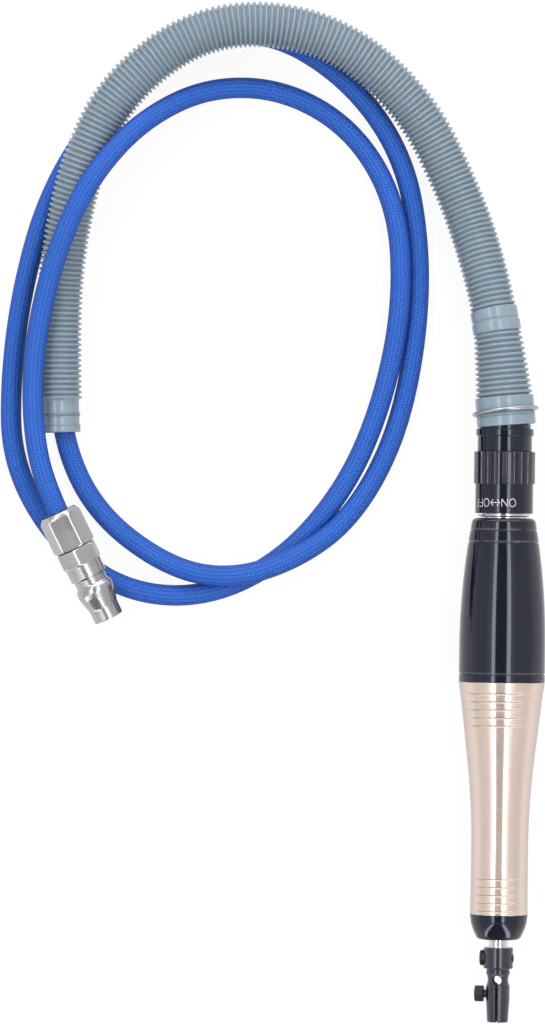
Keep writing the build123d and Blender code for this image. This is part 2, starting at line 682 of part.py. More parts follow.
# Rear housing: black barrel that takes the cylinder in front and the valve spindle behind
def housing_outline(inset):
    """Belly and falling arc of the rear housing, drawn in by the inset."""
    with BuildLine() as outline:
        belly = Line(
            (joint, BELLY_DIAMETER / 2 - inset), (joint + HOUSING_FLAT_LENGTH, BELLY_DIAMETER / 2 - inset)
        )
        fall = TangentArc(belly @ 1, (housing_back, HOUSING_BACK_DIAMETER / 2 - inset), tangent=(1, 0))
        Polyline(fall @ 1, (housing_back, 0), (joint, 0), belly @ 0)
    make_face(outline.edges())


housing_grooves = [
    joint + HOUSING_FRONT_GROOVE_SETBACK,
    housing_back - HOUSING_BACK_GROOVE_SETBACK,
    housing_back - HOUSING_BACK_GROOVE_SETBACK - HOUSING_BACK_GROOVE_PITCH,
]

with BuildPart() as rear_housing:
    with BuildSketch(section_plane()):
        housing_outline(0)
        grooves(housing_grooves)
        housing_outline(GROOVE_DEPTH)
        strip(joint, grip_spigot_back, 0, grip_spigot_diameter, Mode.SUBTRACT)
        strip(grip_spigot_back, chamber_back, 0, chamber_diameter, Mode.SUBTRACT)
        strip(chamber_back, housing_back, 0, SPINDLE_SEAT_DIAMETER, Mode.SUBTRACT)
        edge_cut(joint, BELLY_DIAMETER, 1)
    revolve(axis=tool_axis)
    fillet(rim(rear_housing, housing_back), HOUSING_BACK_ROUND)
save(rear_housing, "rear_housing")

# Valve spindle: bright turned steel, with air and exhaust ways drilled along it
spindle_seal_station = (chamber_back + housing_back) / 2
front_seal_station = ring_front + FRONT_SEAL_SETBACK
back_seal_station = ring_back - BACK_SEAL_SETBACK
ports_middle = (front_seal_station + back_seal_station) / 2
front_port = ports_middle - VALVE_PORT_SPACING / 2
back_port = ports_middle + VALVE_PORT_SPACING / 2
air_bore_inset = VALVE_PORT_DIAMETER / 2
stop_pin_station = cap_front - STOP_PIN_SETBACK

with BuildPart() as valve_spindle:
    with BuildSketch(section_plane()):
        neck_groove_back = housing_back + NECK_GROOVE_LENGTH
        strip(chamber_back, neck_groove_back, 0, SPINDLE_SEAT_DIAMETER)
        strip(neck_groove_back, journal_front, 0, NECK_FLANGE_DIAMETER)
        strip(journal_front, cap_front, 0, JOURNAL_DIAMETER)
        strip(cap_front, spindle_back, 0, SPINDLE_TAIL_DIAMETER)
        for station, diameter in (
            (spindle_seal_station, SPINDLE_SEAT_DIAMETER),
            (front_seal_station, JOURNAL_DIAMETER),
            (back_seal_station, JOURNAL_DIAMETER),
        ):
            strip(station - SEAL_GROOVE_WIDTH / 2, station + SEAL_GROOVE_WIDTH / 2,
                  diameter - 2 * SEAL_SECTION, diameter, Mode.SUBTRACT)
        strip(chamber_back, front_port + air_bore_inset, 0, AIR_BORE_DIAMETER, Mode.SUBTRACT)
        strip(back_port - air_bore_inset, spindle_back, 0, AIR_BORE_DIAMETER, Mode.SUBTRACT)
        strip(spindle_back - BARB_THREAD_LENGTH, spindle_back, 0, BARB_THREAD_DIAMETER, Mode.SUBTRACT)
    revolve(axis=tool_axis)
    chamfer(rim(valve_spindle, neck_groove_back), NECK_CHAMFER)
    for station in (front_port, back_port):
        with BuildSketch(radial_plane(station, PORT_ANGLE)):
            Circle(VALVE_PORT_DIAMETER / 2)
        extrude(amount=JOURNAL_DIAMETER, mode=Mode.SUBTRACT)
    with BuildSketch(radial_plane(stop_pin_station, STOP_PIN_ANGLE).offset(STOP_PIN_INNER)):
        Circle(STOP_PIN_DIAMETER / 2)
    extrude(amount=JOURNAL_DIAMETER, mode=Mode.SUBTRACT)
    with BuildSketch(cross_plane(chamber_back)):
        with PolarLocations(EXHAUST_HOLE_CIRCLE / 2, EXHAUST_WAYS, start_angle=180 / EXHAUST_WAYS):
            Circle(EXHAUST_HOLE_DIAMETER / 2)
    extrude(amount=spindle_back - chamber_back, mode=Mode.SUBTRACT)
save(valve_spindle, "valve_spindle")

with BuildPart() as spindle_seal:
    with BuildSketch(section_plane()):
        o_ring(spindle_seal_station, SPINDLE_SEAT_DIAMETER - SEAL_SECTION, SEAL_SECTION)
    revolve(axis=tool_axis)
save(spindle_seal, "spindle_seal")

with BuildPart() as valve_seals:
    with BuildSketch(section_plane()):
        for station in (front_seal_station, back_seal_station):
            o_ring(station, JOURNAL_DIAMETER - SEAL_SECTION, SEAL_SECTION)
    revolve(axis=tool_axis)
save(valve_seals, "valve_seals")

with BuildPart() as stop_pin:
    with BuildSketch(radial_plane(stop_pin_station, STOP_PIN_ANGLE).offset(STOP_PIN_INNER)):
        Circle(STOP_PIN_DIAMETER / 2)
    extrude(amount=STOP_PIN_OUTER - STOP_PIN_INNER)
save(stop_pin, "stop_pin")

# Valve ring: marked band in front, fluted grip behind, air pocket and stop slot inside
ring_bore = JOURNAL_DIAMETER + 2 * RUNNING_CLEARANCE
ring_step = ring_front + RING_BAND_LENGTH
pocket_half = (VALVE_PORT_SPACING + VALVE_PORT_DIAMETER) / 2 + RING_POCKET_OVERLAP
pin_half_angle = STOP_PIN_DIAMETER / JOURNAL_DIAMETER * 180 / pi + STOP_SLOT_MARGIN
stop_slot_front = stop_pin_station - STOP_PIN_DIAMETER / 2 - STOP_SLOT_CLEARANCE
stop_slot_outside = 2 * (STOP_PIN_OUTER + STOP_SLOT_CLEARANCE)

with BuildPart() as valve_ring:
    with BuildSketch(section_plane()):
        strip(ring_front, ring_step, ring_bore, RING_BAND_DIAMETER)
        strip(ring_step, ring_back, ring_bore, RING_GRIP_DIAMETER)
    revolve(axis=tool_axis)
    chamfer([rim(valve_ring, ring_front), rim(valve_ring, ring_back)], EDGE_BREAK)
    with BuildSketch(cross_plane(ring_step)):
        with PolarLocations((RING_GRIP_DIAMETER + FLUTE_DIAMETER) / 2 - FLUTE_DEPTH, FLUTE_COUNT):
            Circle(FLUTE_DIAMETER / 2)
    extrude(amount=ring_back - ring_step, mode=Mode.SUBTRACT)
    with BuildSketch(section_plane(PORT_ANGLE + VALVE_TURN + RING_POCKET_ARC / 2)):
        strip(ports_middle - pocket_half, ports_middle + pocket_half,
              JOURNAL_DIAMETER, ring_bore + 2 * RING_POCKET_DEPTH)
    revolve(axis=tool_axis, revolution_arc=RING_POCKET_ARC, mode=Mode.SUBTRACT)
    with BuildSketch(section_plane(STOP_PIN_ANGLE + VALVE_TURN + pin_half_angle)):
        strip(stop_slot_front, ring_back, JOURNAL_DIAMETER, stop_slot_outside)
    revolve(axis=tool_axis, revolution_arc=VALVE_TURN + 2 * pin_half_angle, mode=Mode.SUBTRACT)
save(valve_ring, "valve_ring")

# Rear cap, screwed on the spindle's tail, with the exhaust chamber and the sleeve's spigot
rim_front = cap_front + CAP_BAND_LENGTH
rim_back = rim_front + CAP_RIM_LENGTH

with BuildPart() as rear_cap:
    with BuildSketch(section_plane()):
        strip(cap_front, rim_front, 0, CAP_BAND_DIAMETER)
        strip(rim_front, rim_back, 0, CAP_RIM_DIAMETER)
        strip(rim_back, cap_back, 0, CAP_RECESS_DIAMETER)
        strip(cap_back, spigot_back, 0, SPIGOT_DIAMETER)
        strip(cap_front, spindle_back, 0, SPINDLE_TAIL_DIAMETER, Mode.SUBTRACT)
        strip(spindle_back, exhaust_chamber_back, 0, EXHAUST_CHAMBER_DIAMETER, Mode.SUBTRACT)
        strip(exhaust_chamber_back, spigot_back, 0, EXHAUST_BORE_DIAMETER, Mode.SUBTRACT)
    revolve(axis=tool_axis)
    chamfer([rim(rear_cap, rim_front), rim(rear_cap, rim_back)], CAP_RIM_CHAMFER)
    chamfer(rim(rear_cap, cap_front), EDGE_BREAK)
save(rear_cap, "rear_cap")

ferrule_outside = HOSE_DIAMETER + 2 * FERRULE_WALL

with BuildPart() as silencer_felt:
    with BuildSketch(section_plane()):
        strip(exhaust_chamber_back - FELT_LENGTH, exhaust_chamber_back,
              ferrule_outside + 2 * FELT_CLEARANCE, EXHAUST_CHAMBER_DIAMETER)
    revolve(axis=tool_axis)
save(silencer_felt, "silencer_felt")

with BuildPart() as inlet_barb:
    with BuildSketch(section_plane()):
        strip(spindle_back - BARB_THREAD_LENGTH, spindle_back, BARB_BORE_DIAMETER, BARB_THREAD_DIAMETER)
        strip(spindle_back, barb_back, BARB_BORE_DIAMETER, BARB_FLANGE_DIAMETER)
        strip(barb_back, barb_back + BARB_LENGTH, BARB_BORE_DIAMETER, HOSE_BORE)
    revolve(axis=tool_axis)
save(inlet_barb, "inlet_barb")

with BuildPart() as hose_ferrule:
    with BuildSketch(section_plane()):
        ferrule_front = barb_back + FERRULE_SETBACK
        strip(ferrule_front, ferrule_front + FERRULE_LENGTH, HOSE_DIAMETER, ferrule_outside)
    revolve(axis=tool_axis)
save(hose_ferrule, "hose_ferrule")


# Routes of sleeve and hose: x from the axis, y back from the rear cap, z up from the floor
def from_cap(points):
    """Route points moved from the back of the rear cap to the tool's frame."""
    return [(x, cap_back + y, z) for x, y, z in points]


def corner_radii(route):
    """Radius at each inner point of a route, as large as its two runs allow."""
    radii = []
    for before, here, after in zip(route, route[1:], route[2:]):
        run_in = Vector(here) - Vector(before)
        run_out = Vector(after) - Vector(here)
        turn = radians(run_in.get_angle(run_out))
        radii.append(RUN_SHARE * min(run_in.length, run_out.length) / tan(turn / 2))
    return radii


sleeve_route = from_cap([
    (0, 0, axis_height),
    (0, 22.5, axis_height),
    (-6, 45, 11.5),
    (-14.5, 71, 6.9),
    (-30, 101.5, 8.2),
    (-58, 123, 12.8),
    (-94, 124.5, 14.8),
    (-122, 105, 14.6),
    (-134, 79, 14),
    (-140, 49, 8.5),
    (-140.5, 19, 7.4),
    (-139.5, -4.4, 7.4),
])
hose_free_route = from_cap([
    (-138.5, -9, 6.6),
    (-127, -31, 3.6),
    (-104, -47, 4.6),
    (-84, -50, 10.8),
    (-64, -43, 10.9),
    (-47.5, -30, 5),
    (-34.5, -6.5, 3.3),
    (-28, 23, 3.3),
    (-26.8, 54, 3.3),
    (-33, 84, 3.3),
    (-51.5, 108.5, 3.3),
    (-78, 124, 3.3),
    (-107, 117, 3.3),
    (-129, 95.5, 3.3),
    (-143.4, 70.5, 3.3),
    (-151.2, 42, 3.3),
    (-154.7, 13, 3.3),
    (-154, -14, 3.3),
    (-140, -38.5, 3.3),
    (-119, -54.5, 3.3),
    (-93, -56.2, 3.3),
    (-68, -43.5, 3.3),
    (-49.5, -19.5, 3.3),
    (-38.5, 8, 4.9),
    (-32.3, 38, 7.5),
    (-35, 68, 7.2),
    (-48.5, 91, 3.8),
    (-70, 103.8, 3.4),
    (-94, 104.2, 8.8),
    (-115, 93.5, 19),
    (-130, 76, 24.5),
    (-138.5, 57.5, 22.5),
    (-144, 37, 18.5),
    (-147, 14, 16.2),
    (-146.3, -8.5, 15.9),
    (-142.1, -24, 15.6),
    (-135.6, -37, 14.4),
])
hose_start = [(0, barb_back, axis_height), sleeve_route[1]]
hose_in_sleeve = [(x, y, z - HOSE_SAG) for x, y, z in sleeve_route[2:-1]]
hose_route = hose_start + hose_in_sleeve + hose_free_route

# Exhaust sleeve: circles along its route, joined by straight sides
with BuildLine() as sleeve_line:
    FilletPolyline(*sleeve_route, radius=corner_radii(sleeve_route))
sleeve_path = sleeve_line.wire()
sleeve_length = sleeve_path.length


def sleeve_plane(distance):
    """Plane square to the sleeve's path, with its x axis level."""
    centre = sleeve_path.position_at(distance, PositionMode.LENGTH)
    along = sleeve_path.tangent_at(distance, PositionMode.LENGTH)
    return Plane(origin=centre, x_dir=Vector(0, 0, 1).cross(along), z_dir=along)


def rib_circles(start, count, first_crest, last_crest):
    """Distance and diameter of the four circles of each rib: foot, crest, crest, foot."""
    circles = []
    for rib in range(count):
        foot = first_crest + (last_crest - first_crest) * rib / count - 2 * RIB_HEIGHT
        for along, rise in RIB_SHAPE:
            circles.append((start + (rib + along) * RIB_PITCH, foot + 2 * RIB_HEIGHT * rise))
    return circles


band_start = SLEEVE_CUFF_LENGTH + TAPER_RIBS * RIB_PITCH
band_middle = band_start + BAND_LENGTH / 2
band_end = band_start + BAND_LENGTH
end_cuff_start = sleeve_length - END_CUFF_LENGTH
rib_count = int((end_cuff_start - band_end) / RIB_PITCH)
band_groove = BAND_DIAMETER - 2 * BAND_GROOVE_DEPTH
sleeve_outside = [(0, SLEEVE_CUFF_DIAMETER), (SLEEVE_CUFF_LENGTH, SLEEVE_CUFF_DIAMETER)]
sleeve_outside += rib_circles(SLEEVE_CUFF_LENGTH, TAPER_RIBS, TAPER_RIB_DIAMETER, BAND_DIAMETER)
sleeve_outside += [
    (band_start, BAND_DIAMETER),
    (band_middle - BAND_GROOVE_WIDTH / 2, BAND_DIAMETER),
    (band_middle, band_groove),
    (band_middle + BAND_GROOVE_WIDTH / 2, BAND_DIAMETER),
    (band_end, BAND_DIAMETER),
]
sleeve_outside += rib_circles(band_end, rib_count, RIB_DIAMETER, RIB_DIAMETER)
sleeve_outside += [(end_cuff_start, END_CUFF_DIAMETER), (sleeve_length, END_CUFF_DIAMETER)]

sleeve_inside = [(0, SPIGOT_DIAMETER), (SPIGOT_LENGTH, SPIGOT_DIAMETER)]
bore_start = SPIGOT_LENGTH + SLEEVE_BORE_CONE
bore_steps = int((end_cuff_start - bore_start) / (BORE_RIBS_PER_STEP * RIB_PITCH))
for step in range(bore_steps + 1):
    sleeve_inside.append((bore_start + (end_cuff_start - bore_start) * step / bore_steps, SLEEVE_BORE))
sleeve_inside += [(end_cuff_start + RIB_PITCH, END_CUFF_BORE), (sleeve_length, END_CUFF_BORE)]

with BuildPart() as exhaust_sleeve:
    for distance, diameter in sleeve_outside:
        with BuildSketch(sleeve_plane(distance)):
            Circle(diameter / 2)
    loft(ruled=True)
    for distance, diameter in sleeve_inside:
        with BuildSketch(sleeve_plane(distance)):
            Circle(diameter / 2)
    loft(ruled=True, mode=Mode.SUBTRACT)
save(exhaust_sleeve, "exhaust_sleeve")
print("sleeve radii", [round(radius) for radius in corner_radii(sleeve_route)])
print("sleeve length", round(sleeve_length, 1), "ribs", TAPER_RIBS + rib_count)

# Wire clip wound round the sleeve's cuff, whose ends pass each other underneath
with BuildPart() as sleeve_clamp:
    with BuildLine():
        winding = Helix(
            pitch=CLAMP_PITCH,
            height=CLAMP_PITCH * CLAMP_TURNS,
            radius=(SLEEVE_CUFF_DIAMETER + CLAMP_WIRE_DIAMETER) / 2 + RUNNING_CLEARANCE,
            center=(0, cap_back + CLAMP_STATION - CLAMP_PITCH * CLAMP_TURNS / 2, axis_height),
            direction=(0, 1, 0),
            mode=Mode.PRIVATE,
        )
        clamp_line = winding.rotate(tool_axis, -180 * CLAMP_TURNS)
        add(clamp_line)
    with BuildSketch(Plane(origin=clamp_line @ 0, z_dir=clamp_line % 0)):
        Circle(CLAMP_WIRE_DIAMETER / 2)
    sweep(path=clamp_line, is_frenet=True)
save(sleeve_clamp, "sleeve_clamp")
print("clip, gap between its turns", round(CLAMP_PITCH - CLAMP_WIRE_DIAMETER, 2))

# Air hose, from the barb through the sleeve and round its loops to the plug
with BuildLine() as hose_line:
    FilletPolyline(*hose_route, radius=corner_radii(hose_route))
hose_path = hose_line.wire()

with BuildPart() as air_hose:
    with BuildSketch(Plane(origin=hose_path @ 0, x_dir=(1, 0, 0), z_dir=hose_path % 0)):
        Circle(HOSE_DIAMETER / 2)
        Circle(HOSE_BORE / 2, mode=Mode.SUBTRACT)
    sweep(path=hose_path)
save(air_hose, "air_hose")


def least_gap(path, diameter):
    """Least gap between strands of one tube, measured on points along its path."""
    count = int(path.length / GAP_STEP)
    points = [path.position_at(GAP_STEP * step, position_mode=PositionMode.LENGTH) for step in range(count)]
    apart = int(GAP_APART * diameter / GAP_STEP)
    gaps = []
    for first in range(count):
        for second in range(first + apart, count):
            gaps.append((points[first] - points[second]).length - diameter)
    return min(gaps)


hose_section = pi / 4 * (HOSE_DIAMETER**2 - HOSE_BORE**2)
print("hose, least gap to itself", round(least_gap(hose_path, HOSE_DIAMETER), 2))
print("hose radii", [round(radius) for radius in corner_radii(hose_route)])
print("hose length", round(hose_path.length, 1), "volume over section times length",
      round(air_hose.part.volume / (hose_section * hose_path.length), 4))

# Quick-connect plug in line with the hose's last run
plug_along = hose_path % 1
plug_back = (hose_path @ 1) - plug_along * HOSE_GRIP
plug_side = plug_along.cross(Vector(0, 0, 1)).normalized()
plug_axis = Axis(plug_back, plug_along)
plug_section = Plane(origin=plug_back, x_dir=plug_along, z_dir=plug_side)


def plug_plane(distance):
    """Plane square to the plug's axis, with its x axis level."""
    return Plane(origin=plug_back + plug_along * distance, x_dir=plug_side, z_dir=plug_along)


thread_start = PLUG_NUT_LIP + OLIVE_LENGTH
hex_start = PLUG_NUT_LENGTH + PLUG_GAP
collar_start = hex_start + PLUG_HEX_LENGTH
groove_start = collar_start + PLUG_COLLAR_LENGTH
bulge_start = groove_start + PLUG_GROOVE_LENGTH
taper_start = bulge_start + PLUG_BULGE_LENGTH
tip_start = taper_start + PLUG_TAPER_LENGTH
plug_tip = tip_start + PLUG_TIP_LENGTH


def rounded_hex(start, length, width, chamfer_size, turn):
    """Hexagon along the plug's axis whose corners are turned down at both ends."""
    with BuildSketch(plug_plane(start)) as hexagon:
        RegularPolygon(width / 2, 6, major_radius=False, rotation=turn)
    extrude(hexagon.sketch, amount=length)
    reach = width / 2 / cos(pi / 6)
    with BuildSketch(plug_section) as envelope:
        with BuildLine():
            Polyline(
                (start, 0),
                (start, reach - chamfer_size),
                (start + chamfer_size / 2, reach),
                (start + length - chamfer_size / 2, reach),
                (start + length, reach - chamfer_size),
                (start + length, 0),
                (start, 0),
            )
        make_face()
    revolve(envelope.sketch, axis=plug_axis, mode=Mode.INTERSECT)


with BuildPart() as plug_nut:
    rounded_hex(0, PLUG_NUT_LENGTH, PLUG_NUT_WIDTH, PLUG_NUT_CHAMFER, PLUG_TURN)
    with BuildSketch(plug_section):
        strip(0, PLUG_NUT_LENGTH, 0, HOSE_DIAMETER + 2 * RUNNING_CLEARANCE)
        strip(PLUG_NUT_LIP, PLUG_NUT_LENGTH, 0, PLUG_THREAD_DIAMETER)
    revolve(axis=plug_axis, mode=Mode.SUBTRACT)
save(plug_nut, "plug_nut")

with BuildPart() as plug_olive:
    with BuildSketch(plug_section):
        strip(PLUG_NUT_LIP, thread_start, HOSE_DIAMETER, PLUG_THREAD_DIAMETER)
    revolve(axis=plug_axis)
save(plug_olive, "plug_olive")

with BuildPart() as plug_body:
    rounded_hex(hex_start, PLUG_HEX_LENGTH, PLUG_HEX_WIDTH, PLUG_HEX_CHAMFER, PLUG_TURN + PLUG_HEX_TURN)
    with BuildSketch(plug_section):
        with BuildLine():
            neck = Polyline(
                (collar_start, 0),
                (collar_start, PLUG_COLLAR_DIAMETER / 2),
                (groove_start - EDGE_BREAK, PLUG_COLLAR_DIAMETER / 2),
                (groove_start, PLUG_GROOVE_DIAMETER / 2),
                (bulge_start, PLUG_GROOVE_DIAMETER / 2),
            )
            bulge = ThreePointArc(
                neck @ 1,
                (bulge_start + PLUG_BULGE_LENGTH / 2, PLUG_BULGE_DIAMETER / 2),
                (taper_start, PLUG_BULGE_DIAMETER / 2 - EDGE_BREAK),
            )
            Polyline(
                bulge @ 1,
                (tip_start, PLUG_TIP_DIAMETER / 2),
                (plug_tip - EDGE_BREAK, PLUG_TIP_DIAMETER / 2),
                (plug_tip, PLUG_TIP_DIAMETER / 2 - EDGE_BREAK),
                (plug_tip, 0),
                (collar_start, 0),
            )
        make_face()
        strip(thread_start, collar_start, 0, PLUG_THREAD_DIAMETER)
        strip(thread_start, HOSE_GRIP, HOSE_BORE, HOSE_DIAMETER, Mode.SUBTRACT)
        strip(HOSE_GRIP - PLUG_TAIL_LENGTH, thread_start, 0, HOSE_BORE)
        strip(HOSE_GRIP - PLUG_TAIL_LENGTH, HOSE_GRIP, 0, BARB_BORE_DIAMETER, Mode.SUBTRACT)
        strip(HOSE_GRIP, plug_tip, 0, PLUG_BORE, Mode.SUBTRACT)
    revolve(axis=plug_axis)
    with BuildSketch(plug_plane(hex_start)):
        Circle(PLUG_BORE / 2)
    extrude(amount=PLUG_HEX_LENGTH, mode=Mode.SUBTRACT)
save(plug_body, "plug_body")
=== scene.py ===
import bmesh
import bpy
import numpy as np
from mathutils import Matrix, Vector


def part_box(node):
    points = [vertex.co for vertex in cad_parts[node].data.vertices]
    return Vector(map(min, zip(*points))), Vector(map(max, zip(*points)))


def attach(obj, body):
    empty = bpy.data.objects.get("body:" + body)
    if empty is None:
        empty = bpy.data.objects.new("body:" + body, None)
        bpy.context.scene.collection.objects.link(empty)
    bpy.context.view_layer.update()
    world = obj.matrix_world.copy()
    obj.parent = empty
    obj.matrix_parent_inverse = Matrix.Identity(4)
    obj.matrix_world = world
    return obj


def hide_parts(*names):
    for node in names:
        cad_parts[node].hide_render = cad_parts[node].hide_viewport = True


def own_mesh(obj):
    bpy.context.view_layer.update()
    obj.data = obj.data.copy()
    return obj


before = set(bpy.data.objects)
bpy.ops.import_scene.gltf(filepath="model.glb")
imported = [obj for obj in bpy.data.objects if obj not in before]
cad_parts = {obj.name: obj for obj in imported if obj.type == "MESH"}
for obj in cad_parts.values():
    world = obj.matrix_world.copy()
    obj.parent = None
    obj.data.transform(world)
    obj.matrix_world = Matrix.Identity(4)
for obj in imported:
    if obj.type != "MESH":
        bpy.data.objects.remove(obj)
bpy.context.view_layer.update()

# Air motor and guides: the pieces that work inside the two housings, turned from aluminium, steel
# and bronze, with rubber seals and a felt ring. They keep their own solids and only get a finish.


def node(tree, kind, inputs=(), **settings):
    """A new node; its inputs are values or the sockets that feed them, by name or in order."""
    made = tree.nodes.new(kind)
    for field, value in settings.items():
        setattr(made, field, value)
    pairs = inputs.items() if isinstance(inputs, dict) else enumerate(inputs)
    for place, value in pairs:
        if isinstance(value, bpy.types.NodeSocket):
            tree.links.new(value, made.inputs[place])
        else:
            made.inputs[place].default_value = value
    return made


def maths(tree, operation, *values):
    """The result of one operation on numbers, or on the sockets that give them."""
    return node(tree, "ShaderNodeMath", values, operation=operation).outputs[0]


def ranged(tree, value, start, end, low=0, high=1, change="LINEAR"):
    """A number that runs from low to high while a value runs from start to end."""
    inputs = [value, start, end, low, high]
    return node(tree, "ShaderNodeMapRange", inputs, interpolation_type=change).outputs[0]


def mixed(tree, factor, low, high):
    """A colour that runs from low to high with the factor."""
    return node(tree, "ShaderNodeMix", {0: factor, 6: low, 7: high}, data_type="RGBA").outputs[2]


def stretched(tree, place, stretch):
    """Each part of a place times that part of a stretch."""
    return node(tree, "ShaderNodeVectorMath", [place, stretch], operation="MULTIPLY").outputs[0]


def used(tree, group, **inputs):
    """The result of a node group whose inputs are given by name."""
    return node(tree, "ShaderNodeGroup", inputs, node_tree=group).outputs[0]


def effect(name, sizes, result):
    """An empty node group with number inputs, each with its usual value, and one number as its result."""
    tree = bpy.data.node_groups.new(name, "ShaderNodeTree")
    for size, usual in sizes.items():
        tree.interface.new_socket(size, in_out="INPUT", socket_type="NodeSocketFloat").default_value = usual
    tree.interface.new_socket(result, in_out="OUTPUT", socket_type="NodeSocketFloat")
    return tree, node(tree, "NodeGroupInput").outputs


def millimetres(tree):
    """Object coordinates in millimetres."""
    return stretched(tree, node(tree, "ShaderNodeTexCoord").outputs["Object"], (1000, 1000, 1000))


# Rings that a lathe tool leaves: noise that changes quickly along the axis and slowly round it
turning, sizes = effect("turning", {"Pitch": 0.3}, "Rings")
along = maths(turning, "DIVIDE", 1, sizes["Pitch"])
stretch = node(turning, "ShaderNodeCombineXYZ", [0.05, along, 0.05]).outputs[0]
place = stretched(turning, millimetres(turning), stretch)
rings = node(turning, "ShaderNodeTexNoise", {"Vector": place, "Scale": 1, "Detail": 3})
node(turning, "NodeGroupOutput", [rings.outputs[0]])

# Faint smears of handling: broad noise, pulled out to its middle values
handling, sizes = effect("handling", {"Size": 9.0}, "Smear")
scale = maths(handling, "DIVIDE", 1, sizes["Size"])
smear = node(handling, "ShaderNodeTexNoise",
             {"Vector": millimetres(handling), "Scale": scale, "Detail": 5, "Distortion": 0.6})
node(handling, "NodeGroupOutput", [ranged(handling, smear.outputs[0], 0.32, 0.68)])

# Grain of a moulded or etched skin: fine even noise
grain, sizes = effect("grain", {"Size": 0.2}, "Grain")
scale = maths(grain, "DIVIDE", 1, sizes["Size"])
speck = node(grain, "ShaderNodeTexNoise", {"Vector": millimetres(grain), "Scale": scale, "Detail": 2})
node(grain, "NodeGroupOutput", [speck.outputs[0]])


def finish(name, fixed):
    """A material with one Principled shader, whose fixed values are given by socket name."""
    made = bpy.data.materials.new(name)
    made.use_nodes = True
    tree = made.node_tree
    tree.nodes.clear()
    shader = node(tree, "ShaderNodeBsdfPrincipled", fixed)
    node(tree, "ShaderNodeOutputMaterial", [shader.outputs[0]])
    return made, tree, shader


def tint(tree, factor, low, high):
    """A colour that runs from one plain colour to another with the factor."""
    return mixed(tree, factor, (*low, 1), (*high, 1))


def smeared(tree, smear, roughness):
    """A roughness that runs with the smears from a little below its value to a little above."""
    return ranged(tree, smear, 0, 1, roughness * 0.85, roughness * 1.15)


def surfaced(tree, shader, colour, roughness, height, depth):
    """Feed a shader's colour and roughness, and tilt its normal by a height of a given depth."""
    bump = node(tree, "ShaderNodeBump", {"Strength": 1, "Distance": depth, "Height": height})
    tree.links.new(colour, shader.inputs["Base Color"])
    tree.links.new(roughness, shader.inputs["Roughness"])
    tree.links.new(bump.outputs[0], shader.inputs["Normal"])


def turned_finish(name, low, high, roughness, pitch=0.3, depth=1.5e-6, fixed={"Metallic": 1.0}):
    """Turned metal: tool rings move its colour and height a little, smears its roughness."""
    made, tree, shader = finish(name, fixed)
    rings = used(tree, turning, Pitch=pitch)
    smear = used(tree, handling, Size=8.0)
    surfaced(tree, shader, tint(tree, rings, low, high), smeared(tree, smear, roughness), rings, depth)
    return made


def grained_finish(name, low, high, roughness, size=0.2, depth=1e-5, fixed=()):
    """Plastic, rubber, felt or plating: a fine grain moves colour and height, smears the roughness."""
    made, tree, shader = finish(name, fixed)
    specks = used(tree, grain, Size=size)
    smear = used(tree, handling, Size=14.0)
    colour = tint(tree, maths(tree, "MULTIPLY", specks, smear), low, high)
    surfaced(tree, shader, colour, smeared(tree, smear, roughness), specks, depth)
    return made


bright_steel = turned_finish("bright_steel", (0.60, 0.60, 0.61), (0.74, 0.74, 0.75), 0.16)
aluminium = turned_finish("head_aluminium", (0.62, 0.63, 0.65), (0.74, 0.75, 0.77), 0.32)
bronze = turned_finish("bronze", (0.50, 0.29, 0.11), (0.64, 0.39, 0.16), 0.3)
seal_rubber = grained_finish("seal_rubber", (0.010, 0.010, 0.011), (0.022, 0.022, 0.024), 0.55)
felt = grained_finish("felt", (0.28, 0.26, 0.22), (0.46, 0.43, 0.37), 0.95, size=0.35, depth=2e-4)
ring_plastic = grained_finish("ring_plastic", (0.66, 0.64, 0.59), (0.78, 0.76, 0.71), 0.4)

inner_finish = {
    aluminium: ["front_head", "rear_head"],
    bright_steel: ["cylinder", "piston", "piston_nut", "guide_pin", "stop_pin", "hose_ferrule"],
    bronze: ["head_bush", "front_bush", "slotted_guide", "inlet_barb", "plug_olive"],
    seal_rubber: ["front_bumper", "rear_bumper", "shaft_wiper", "joint_seal", "spindle_seal",
                  "valve_seals"],
    ring_plastic: ["piston_rings"],
    felt: ["silencer_felt"],
}
for material, names in inner_finish.items():
    for name in names:
        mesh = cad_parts[name].data
        mesh.materials.clear()
        mesh.materials.append(material)

# Output shaft: ground bright steel, which slides in two bushes. Its front end sits in the holder,
# and its thinner tail carries the piston.

AXIS_HEIGHT = 13.5
FULL_TURN = 2 * np.pi
ROUND_STEPS = 144
SETBACK = 0.05
HELD = 1.5
tool_axis = np.array([(0, 0, AXIS_HEIGHT), (0, 1, 0), (1, 0, 0), (0, 0, 1)], float)


def circle(steps):
    """Even angles round a full turn."""
    return np.linspace(0, FULL_TURN, steps, endpoint=False)


round_about = circle(ROUND_STEPS)


def unit(vectors):
    """Vectors scaled to a length of one."""
    return vectors / np.linalg.norm(vectors, axis=-1, keepdims=True)


def rounded(corners, steps=5):
    """Closed outline through corners (station, radius, setback), where a small setback is left out.

    Each corner is left at its setback on both sides and bridged by a parabola, with one more
    point held on each side.
    """
    corners = np.array([(*corner, SETBACK)[:3] for corner in corners], float)
    point = corners[:, None, :2]
    setback = corners[:, None, 2:]
    back = unit(np.roll(point, 1, axis=0) - point)
    onward = unit(np.roll(point, -1, axis=0) - point)
    t = np.linspace(0, 1, steps)[None, :, None]
    bridge = point + (1 - t) ** 2 * setback * back + t ** 2 * setback * onward
    held = [point + HELD * setback * back, bridge, point + HELD * setback * onward]
    return np.concatenate(held, axis=1).reshape(-1, 2)


def open_outline(corners, steps=5):
    """The outline of rounded() without the run that would close it."""
    return rounded(corners, steps)[steps + 1:-steps - 1]


